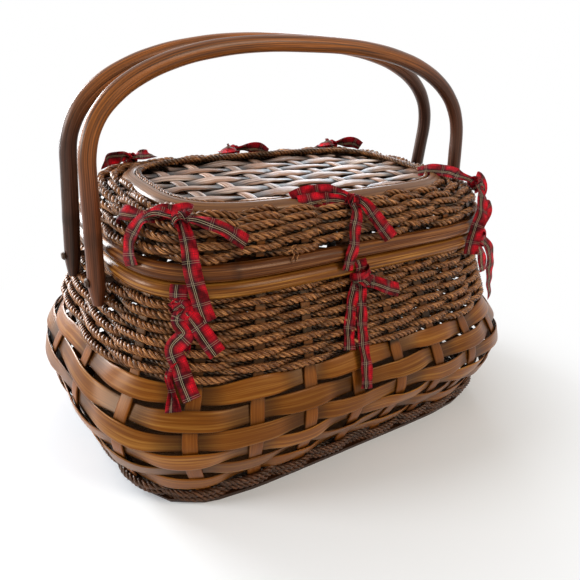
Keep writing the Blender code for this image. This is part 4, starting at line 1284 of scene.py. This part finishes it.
def ribbon_mesh(name, runs, width):
    """One sheet of ribbon along the runs, with its cloth coordinates in ribbon widths."""
    columns = ribbon_columns
    points, faces, cloth = [], [], []
    total = 0.0
    for run in runs:
        start = len(points)
        for i, (place, across, normal, gather, curl) in enumerate(run):
            if i:
                total += (place - run[i - 1][0]).length
            for j in range(columns + 1):
                u = j / columns
                side = (u - 0.5) * width * (1 - gather_loss * gather)
                pleat = gather * width * pleat_depth * math.cos(3.6 * math.pi * u + 0.7)
                ripple = width * (ripple_depth[0] + ripple_depth[1] * gather)
                ripple *= math.sin(ripple_pace * total / width + 3.0 * u + len(run))
                arch = curl * width * (0.25 - (u - 0.5) ** 2)
                points.append(place + across * side + normal * (pleat + arch + ripple))
                cloth.append((u, total / width))
        across_count = columns + 1
        for i in range(len(run) - 1):
            for j in range(columns):
                a = start + i * across_count + j
                faces.append((a, a + 1, a + 1 + across_count, a + across_count))
        total += width * hidden_length
    mesh = bpy.data.meshes.new(name)
    mesh.from_pydata(points, [], faces)
    layer = mesh.uv_layers.new(name="cloth")
    for loop in mesh.loops:
        layer.data[loop.index].uv = cloth[loop.vertex_index]
    mesh.shade_smooth()
    sheet = add_item(name, mesh)
    thick = sheet.modifiers.new("Cloth", "SOLIDIFY")
    thick.thickness = ribbon_thickness
    thick.offset = 0
    return sheet, total


def lid_front_left():
    return [
        ribbon_run(0, ("r", -219, -84, 236, 9.5, 0, 0), ("r", -215, -81, 246, 9.5, 0, 0),
                   ("l", -210, -77, 256, 8, 0, 0), ("l", -204, -77, 267, 8, 0.1, 0),
                   ("t", -197, -80, 275.5, 0, 0.2, 20), ("t", -189, -83, 279, 0, 0.25, 45),
                   ("t", -182, -88, 279, 0, 0.3, 45), ("l", -178, -95, 275, 8, 0.4, 25),
                   ("l", -178, -101, 272, 8, 0.8, 0)),
        ribbon_run(0, ("l", -197, -72, 269, 4, 0.6), ("l", -189, -83, 272, 9, 0.5),
                   ("l", -183, -94, 272, 8, 0.6), ("l", -178, -101, 272, 5, 0.8)),
        ribbon_run(0, ("l", -208, -40, 262, 0, 0.3), ("l", -204, -48, 266, 8, 0.1),
                   ("l", -200, -58, 268, 8, 0.1), ("l", -195, -66, 271, 1, 0.3)),
        ribbon_run(0.7, ("l", -178, -102, 272, 7, 0.8), ("l", -169, -113, 270, 10, 0.55),
                   ("l", -157, -121, 268, 10, 0.4), ("l", -146, -126, 264, 8, 0.3),
                   ("l", -137, -129, 259, 6, 0.15)),
        ribbon_run(0.15, ("l", -179, -104, 271, 7, 0.8), ("l", -181, -116, 260, 7, 0.3),
                   ("r", -181, -124, 246, 9.5, 0.1), ("r", -179, -130, 233, 10.5, 0.05),
                   ("r", -176, -132, 218, 10.5, 0.05), ("r", -173, -133, 204, 10.5, 0),
                   ("r", -170, -134, 194, 11.5, 0)),
        ribbon_wrap("l", -178, -102, 272, 6.5, 5, 5.8, -35),
        ribbon_wrap("l", -179, -103, 271, 7.5, 4.6, 5.2, 25),
    ]


def body_front_left():
    return [
        ribbon_hug(-202, -117),
        ribbon_run(0, ("b", -190, -121, 207, 8.5, 0.2), ("b", -188, -122, 203, 9, 0.5),
                   ("b", -187, -123, 199, 7, 0.8)),
        ribbon_run(0.25, ("b", -184, -126, 203, 8, 0.75), ("b", -189, -122, 207, 15, 0.5),
                   ("b", -195, -118, 202, 14, 0.35), ("b", -199, -119, 191, 10, 0.15),
                   ("b", -199, -126, 181, 8.5, 0), ("b", -198, -134, 168, 7.5, 0),
                   ("b", -197, -142, 154, 7.5, 0), ("b", -196, -148, 140, 8, 0),
                   ("b", -195, -155, 127, 8, 0)),
        ribbon_run(0.3, ("b", -189, -122, 206, 12, 0.7), ("b", -184, -128, 199, 12, 0.4),
                   ("b", -179, -136, 189, 10, 0.15), ("b", -174, -143, 177, 9, 0),
                   ("b", -168, -150, 164, 9.5, 0)),
        ribbon_run(0, ("b", -192, -122, 201, 6, 0.7, 0), ("b", -200, -122, 187, 5.5, 0.6, 0),
                   ("b", -203, -130, 168, 5.5, 0.8, 20), ("b", -205, -138, 149, 5.5, 1, 60),
                   ("b", -207, -146, 133, 6, 0.8, 30), ("b", -211, -153, 118, 6.5, 0.2, 0)),
        ribbon_wrap("b", -187, -123, 203, 10, 5.5, 5.5, 40),
    ]


def lid_front_middle():
    return [
        ribbon_run(0.1, ("t", -64, -97, 279.5, 0, 0, 50), ("t", -52, -97, 283.5, 0, 0, 55),
                   ("t", -37, -97.5, 284, 0, 0, 55), ("t", -23, -100, 284, 0, 0.05, 45),
                   ("t", -13, -105, 283, 0, 0.35, 20), ("l", -9, -112, 274.5, 6, 0.8, 0)),
        ribbon_run(0.1, ("t", -60, -103, 277, 0, 0, 40), ("t", -46, -105, 279, 0, 0.1, 45),
                   ("t", -30, -107, 280, 0, 0.3, 35), ("l", -10, -112, 274.5, 4, 0.8, 0)),
        ribbon_run(0.3, ("l", -10, -113, 274.5, 6, 0.8), ("l", -15, -125, 268, 7.5, 0.35),
                   ("l", -20, -132, 258, 7, 0.25), ("r", -24, -137, 245, 9.5, 0.2),
                   ("r", -27, -137, 234, 10.5, 0.2), ("r", -30, -137, 220, 10.5, 0.2)),
        ribbon_run(0.6, ("l", -8, -113, 274.5, 8, 0.8, 0), ("l", -3, -121, 271, 10, 0.5, 25),
                   ("l", 4, -129, 265, 9, 0.35, 35), ("l", 13, -134, 256, 8, 0.25, 30),
                   ("r", 24, -137, 245, 9.5, 0.15, 20)),
        ribbon_wrap("l", -9, -113, 274.5, 6, 5, 5.5, 35),
        ribbon_wrap("l", -7, -115, 273.5, 7, 4.6, 5, 75),
    ]


def body_front_middle():
    return [
        ribbon_hug(-10, -137),
        ribbon_run(0.5, ("b", -9, -143, 206, 10, 0.8), ("b", -2, -146, 200, 9.5, 0.4),
                   ("b", 10, -149, 195, 9.5, 0.25), ("b", 24, -152, 189, 9, 0.15),
                   ("b", 38, -155, 184, 8, 0.05)),
        ribbon_run(0.3, ("b", -12, -142, 208, 11, 0.8), ("b", -18, -146, 198, 10, 0.5),
                   ("b", -24, -153, 184, 8, 0.4), ("b", -30, -160, 170, 7.5, 0.35),
                   ("b", -35, -167, 156, 7.5, 0.3), ("b", -38, -172, 143, 8, 0.3)),
        ribbon_run(0.35, ("b", -8, -142, 206, 9, 0.8), ("b", -10, -150, 191, 8, 0.45),
                   ("b", -14, -158, 174, 7.5, 0.35), ("b", -18, -167, 156, 7.5, 0.3),
                   ("b", -20, -175, 137, 8, 0.35), ("b", -22, -181, 120, 8, 0.25),
                   ("b", -26, -186, 106, 8, 0.2)),
        ribbon_wrap("r", -10, -137, 211, 8.5, 10.5, 8.5, 15, 0.15),
        ribbon_wrap("r", -8, -137, 207, 9.5, 8.5, 8, -40, 0.3),
    ]


def lid_right_end():
    return [
        ribbon_run(0.2, ("t", 150, -52, 280, 0, 0, 30), ("t", 162, -64, 284, 0, 0, 45),
                   ("t", 174, -78, 284, 0, 0, 50), ("l", 184, -90, 275, 8, 0.15, 40),
                   ("l", 191, -99, 269, 8, 0.6, 20)),
        ribbon_run(0.2, ("l", 191, -100, 268, 9, 0.7, 0), ("l", 178, -114, 262, 10, 0.3, 25),
                   ("r", 163, -126, 250, 12.5, 0.1, 45), ("r", 155, -128, 238, 14.5, 0.05, 50),
                   ("r", 152, -129, 226, 14.5, 0.05, 50), ("r", 151, -129, 215, 14.5, 0.05, 50),
                   ("r", 151, -129, 206, 14.5, 0, 50)),
        ribbon_run(0, ("l", 191, -99, 268, 8, 0.6, 20), ("l", 196, -94, 268, 15, 0.2, 50),
                   ("l", 199, -95, 260, 17, 0.2, 50), ("l", 196, -100, 255, 9, 0.6, 20)),
        ribbon_run(0, ("r", 200, -105, 250, 9, 0.6, 30), ("r", 206, -101, 246, 14, 0.1, 60),
                   ("r", 207, -100, 236, 18, 0, 65), ("r", 206, -101, 226, 15, 0.1, 60),
                   ("r", 204, -104, 219, 10, 0.5, 40)),
        ribbon_wrap("l", 191, -100, 268, 8, 6.2, 6, 30, 0.4),
        ribbon_wrap("l", 193, -102, 266, 8, 5.2, 5.6, -30, 0.5),
    ]


def body_right_end():
    return [
        ribbon_hug(209, -110),
        ribbon_run(0.3, ("b", 208, -110, 207, 12, 0.7, 0), ("b", 213, -108, 197, 19, 0.2, 30),
                   ("b", 218, -108, 183, 24, 0.1, 45), ("b", 226, -110, 167, 22, 0.1, 50),
                   ("b", 236, -112, 148, 18, 0.1, 50), ("b", 244, -113, 130, 14, 0.1, 45),
                   ("b", 248, -113, 116, 10, 0, 40)),
        ribbon_run(0.3, ("b", 206, -111, 206, 9, 0.7, 0), ("b", 206, -117, 194, 12, 0.2, 25),
                   ("b", 209, -122, 180, 12, 0.1, 35), ("b", 214, -126, 168, 10, 0.1, 30)),
        ribbon_run(0, ("b", 209, -109, 208, 10, 0.6, 0), ("b", 214, -104, 207, 18, 0.2, 40),
                   ("b", 216, -102, 199, 20, 0.15, 50), ("b", 213, -105, 194, 13, 0.3, 40),
                   ("b", 209, -109, 205, 8, 0.7, 0)),
        ribbon_wrap("r", 208, -110, 209, 9.5, 7.5, 7, 10, 0.25),
        ribbon_wrap("r", 207, -111, 206, 9.5, 6.2, 6.4, -35, 0.4),
    ]


def lid_rear(x, y, reach):
    """A tie on the lid's back edge, its loops standing up; reach is how far its band runs along the edge."""
    far = x + reach
    tilt = math.copysign(1, reach)
    return [
        ribbon_run(0.2, ("t", far + reach * .3, y - 8, 281.5, 0, 0, 30 * tilt),
                   ("t", far, y - 2, 285.5, 0, 0, 50 * tilt),
                   ("t", x + reach * .5, y + 2, 286, 0, 0.1, 45 * tilt),
                   ("l", x, y + 9, 274.5, 7, 0.8, 10 * tilt)),
        ribbon_run(0, ("l", x, y + 10, 274.5, 6, 0.8, 0),
                   ("t", x - reach * .3, y + 6, 286.5, 0, 0.2, -45 * tilt),
                   ("t", x - reach * .7, y + 4, 287, 0, 0.1, -45 * tilt),
                   ("l", x - reach * .6, y + 12, 274.5, 8, 0.3, -20 * tilt),
                   ("l", x, y + 12, 273.5, 6, 0.8, 0)),
        ribbon_run(0.25, ("l", x, y + 11, 274.5, 7, 0.8), ("l", x + 6, y + 23, 266, 8, 0.4),
                   ("l", x + 11, y + 29, 257, 7.5, 0.2), ("r", x + 16, y + 33, 248, 9.5, 0.1),
                   ("r", x + 20, y + 34, 239, 11, 0)),
        ribbon_run(0.4, ("l", x, y + 11, 274.5, 7, 0.8), ("l", x - 7, y + 21, 267, 9, 0.4),
                   ("l", x - 15, y + 28, 258, 8, 0.2), ("l", x - 22, y + 31, 250, 8, 0.1)),
        ribbon_wrap("l", x, y + 11, 274.5, 6, 5, 5.5, 15),
    ]


def body_rear(x, y):
    return [
        ribbon_hug(x, y),
        ribbon_run(0.3, ("b", x, y, 206, 9, 0.8), ("b", x - 6, y + 10, 191, 8.5, 0.4),
                   ("b", x - 9, y + 20, 173, 7.5, 0.2), ("b", x - 13, y + 30, 153, 7.5, 0.1),
                   ("b", x - 15, y + 38, 134, 8, 0.05), ("b", x - 16, y + 42, 122, 8, 0)),
        ribbon_run(0.35, ("b", x, y, 206, 9, 0.8), ("b", x + 8, y + 10, 193, 8.5, 0.35),
                   ("b", x + 15, y + 18, 178, 7.5, 0.15), ("b", x + 21, y + 26, 163, 8, 0)),
        ribbon_wrap("r", x, y, 209, 8.5, 6.2, 6, 10, 0.4),
    ]


class BASKET_OT_tie_ribbons(bpy.types.Operator):
    """Ties the tartan ribbons round the rims and the edge of the lid"""

    bl_idname = "basket.tie_ribbons"
    bl_label = "Tie Ribbons"

    def execute(self, context):
        width = context.scene.basket_sizes.ribbon_width
        material = tartan_material(context.scene.basket_colours.ribbon)
        ties = {
            "front_left": (lid_front_left(), body_front_left()),
            "front_middle": (lid_front_middle(), body_front_middle()),
            "right_end": (lid_right_end(), body_right_end()),
            "rear_left": (lid_rear(-146, 98, -30), body_rear(-146, 136)),
            "rear_middle": (lid_rear(-6, 102, 26), body_rear(-6, 138)),
            "rear_right": (lid_rear(146, 98, 26), body_rear(146, 136)),
        }
        for place, pair in ties.items():
            for part, body, holder, runs in (("lid", "lid", "lid_band", pair[0]),
                                             ("body", "basket", "body_rim", pair[1])):
                sheet, total = ribbon_mesh(f"{part}_ribbon_{place}", runs, width)
                sheet.data.materials.append(material)
                dress(sheet, body, "ribbon", f"{part}_tie_{place}")
        return {"FINISHED"}


class BASKET_OT_finish_frame(bpy.types.Operator):
    """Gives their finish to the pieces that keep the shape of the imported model"""

    bl_idname = "basket.finish_frame"
    bl_label = "Finish Frame"

    def execute(self, context):
        board = plant_material(
            "base board", shades((52, 32, 18), (88, 58, 34), (124, 88, 56)), length=0.10, width=0.002,
            rough=0.5, ridge=0.0003, patch=linear(68, 44, 26), own_path=False)
        peg = plant_material(
            "dark peg", shades((34, 24, 20), (62, 46, 38), (110, 88, 74)), length=0.004, width=0.0006,
            rough=0.35, ridge=0.0002, patch=linear(40, 28, 22), own_path=False)
        cane = plant_material(
            "inner cane", shades((78, 40, 12), (134, 78, 28), (184, 126, 60)), length=0.05, width=0.002,
            rough=0.35, ridge=0.0003, patch=linear(104, 56, 18), own_path=False)
        hoop = plant_material(
            "dark hoop", shades((20, 9, 5), (48, 25, 12), (84, 50, 28)), length=0.08, width=0.0012, rough=0.4,
            ridge=0.0003, patch=linear(34, 17, 8), own_path=False)
        finishes = {"base_board": board, "base_hoop": hoop, "inner_hoop": cane, "left_hinge_loop": cane,
                    "right_hinge_loop": cane}
        for name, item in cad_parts.items():
            finish = peg if name.endswith("_pin") else finishes.get(name)
            if finish:
                item.data.materials.clear()
                item.data.materials.append(finish)
        return {"FINISHED"}


class BASKET_OT_set_stage(bpy.types.Operator):
    """Sets the camera, the soft lights and the pale floor"""

    bl_idname = "basket.set_stage"
    bl_label = "Set Stage"

    def execute(self, context):
        scene = context.scene
        scene.view_settings.view_transform = "Standard"
        set_camera(scene)
        lay_floor()
        light_world(scene)
        for lamp in lamps:
            add_lamp(*lamp)
        return {"FINISHED"}


def set_camera(scene):
    """The camera at the photograph's place, for a square picture."""
    yaw, pitch, roll = (math.radians(angle) for angle in camera_angles)
    ahead = Vector((-math.sin(yaw) * math.cos(pitch), math.cos(yaw) * math.cos(pitch), -math.sin(pitch)))
    right = Vector((math.cos(yaw), math.sin(yaw), 0))
    up = right.cross(ahead)
    level = right * math.cos(roll) + up * math.sin(roll)
    upright = up * math.cos(roll) - right * math.sin(roll)
    camera = bpy.data.cameras.new("camera")
    camera.sensor_width = camera_sensor
    camera.lens = camera_focal_pixels / picture_pixels * camera_sensor
    matrix = Matrix((level, upright, -ahead)).transposed().to_4x4()
    matrix.translation = camera_place
    scene.camera = add_item("camera", camera)
    scene.camera.matrix_world = matrix


def lay_floor():
    mesh = bpy.data.meshes.new("floor")
    turns = [2 * math.pi * i / floor_corners for i in range(floor_corners)]
    points = [(floor_radius * math.cos(turn), floor_radius * math.sin(turn), 0) for turn in turns]
    mesh.from_pydata(points, [], [tuple(range(floor_corners))])
    mesh.materials.append(floor_material())
    add_item("floor", mesh)


def light_world(scene):
    """Even light all round, which the camera and mirrors see as white."""
    world = bpy.data.worlds.new("studio")
    world.use_nodes = True
    tree = world.node_tree
    background = tree.nodes["Background"]
    strength = calc(tree, "ADD", world_level, calc(tree, "MULTIPLY", seen_directly(tree), 1 - world_level))
    background.inputs["Color"].default_value = (1, 1, 1, 1)
    tree.links.new(strength, background.inputs["Strength"])
    scene.world = world


def add_lamp(name, place, size, power, colour):
    lamp = bpy.data.lights.new(name, "AREA")
    lamp.shape = "DISK"
    lamp.size = size
    lamp.energy = power
    lamp.color = colour
    item = add_item(name, lamp)
    item.location = place
    item.rotation_euler = (Vector(lamp_target) - Vector(place)).to_track_quat("-Z", "Y").to_euler()


class BASKET_PT_panel(bpy.types.Panel):
    """Lists the basket's settings and steps"""

    bl_idname = "BASKET_PT_panel"
    bl_label = "Picnic Basket"
    bl_space_type = "VIEW_3D"
    bl_region_type = "UI"
    bl_category = "Basket"

    def draw(self, context):
        for settings in (context.scene.basket_sizes, context.scene.basket_colours):
            for name in settings.bl_rna.properties.keys():
                if name not in ("rna_type", "name"):
                    self.layout.prop(settings, name)
        for step in steps:
            self.layout.operator(step.bl_idname)


steps = (
    BASKET_OT_set_stage, BASKET_OT_weave_ropes, BASKET_OT_set_stakes, BASKET_OT_lay_belt,
    BASKET_OT_bend_rims, BASKET_OT_weave_panel, BASKET_OT_bend_handles, BASKET_OT_tie_ribbons,
    BASKET_OT_finish_frame,
)
classes = (BasketSizes, BasketColours, *steps, BASKET_PT_panel)


def register():
    for item in classes:
        bpy.utils.register_class(item)
    bpy.types.Scene.basket_sizes = bpy.props.PointerProperty(type=BasketSizes)
    bpy.types.Scene.basket_colours = bpy.props.PointerProperty(type=BasketColours)


def unregister():
    del bpy.types.Scene.basket_colours
    del bpy.types.Scene.basket_sizes
    for item in reversed(classes):
        bpy.utils.unregister_class(item)


def main():
    register()
    for step in steps:
        family, name = step.bl_idname.split(".")
        getattr(getattr(bpy.ops, family), name)()
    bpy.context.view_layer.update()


if __name__ == "__main__":
    main()
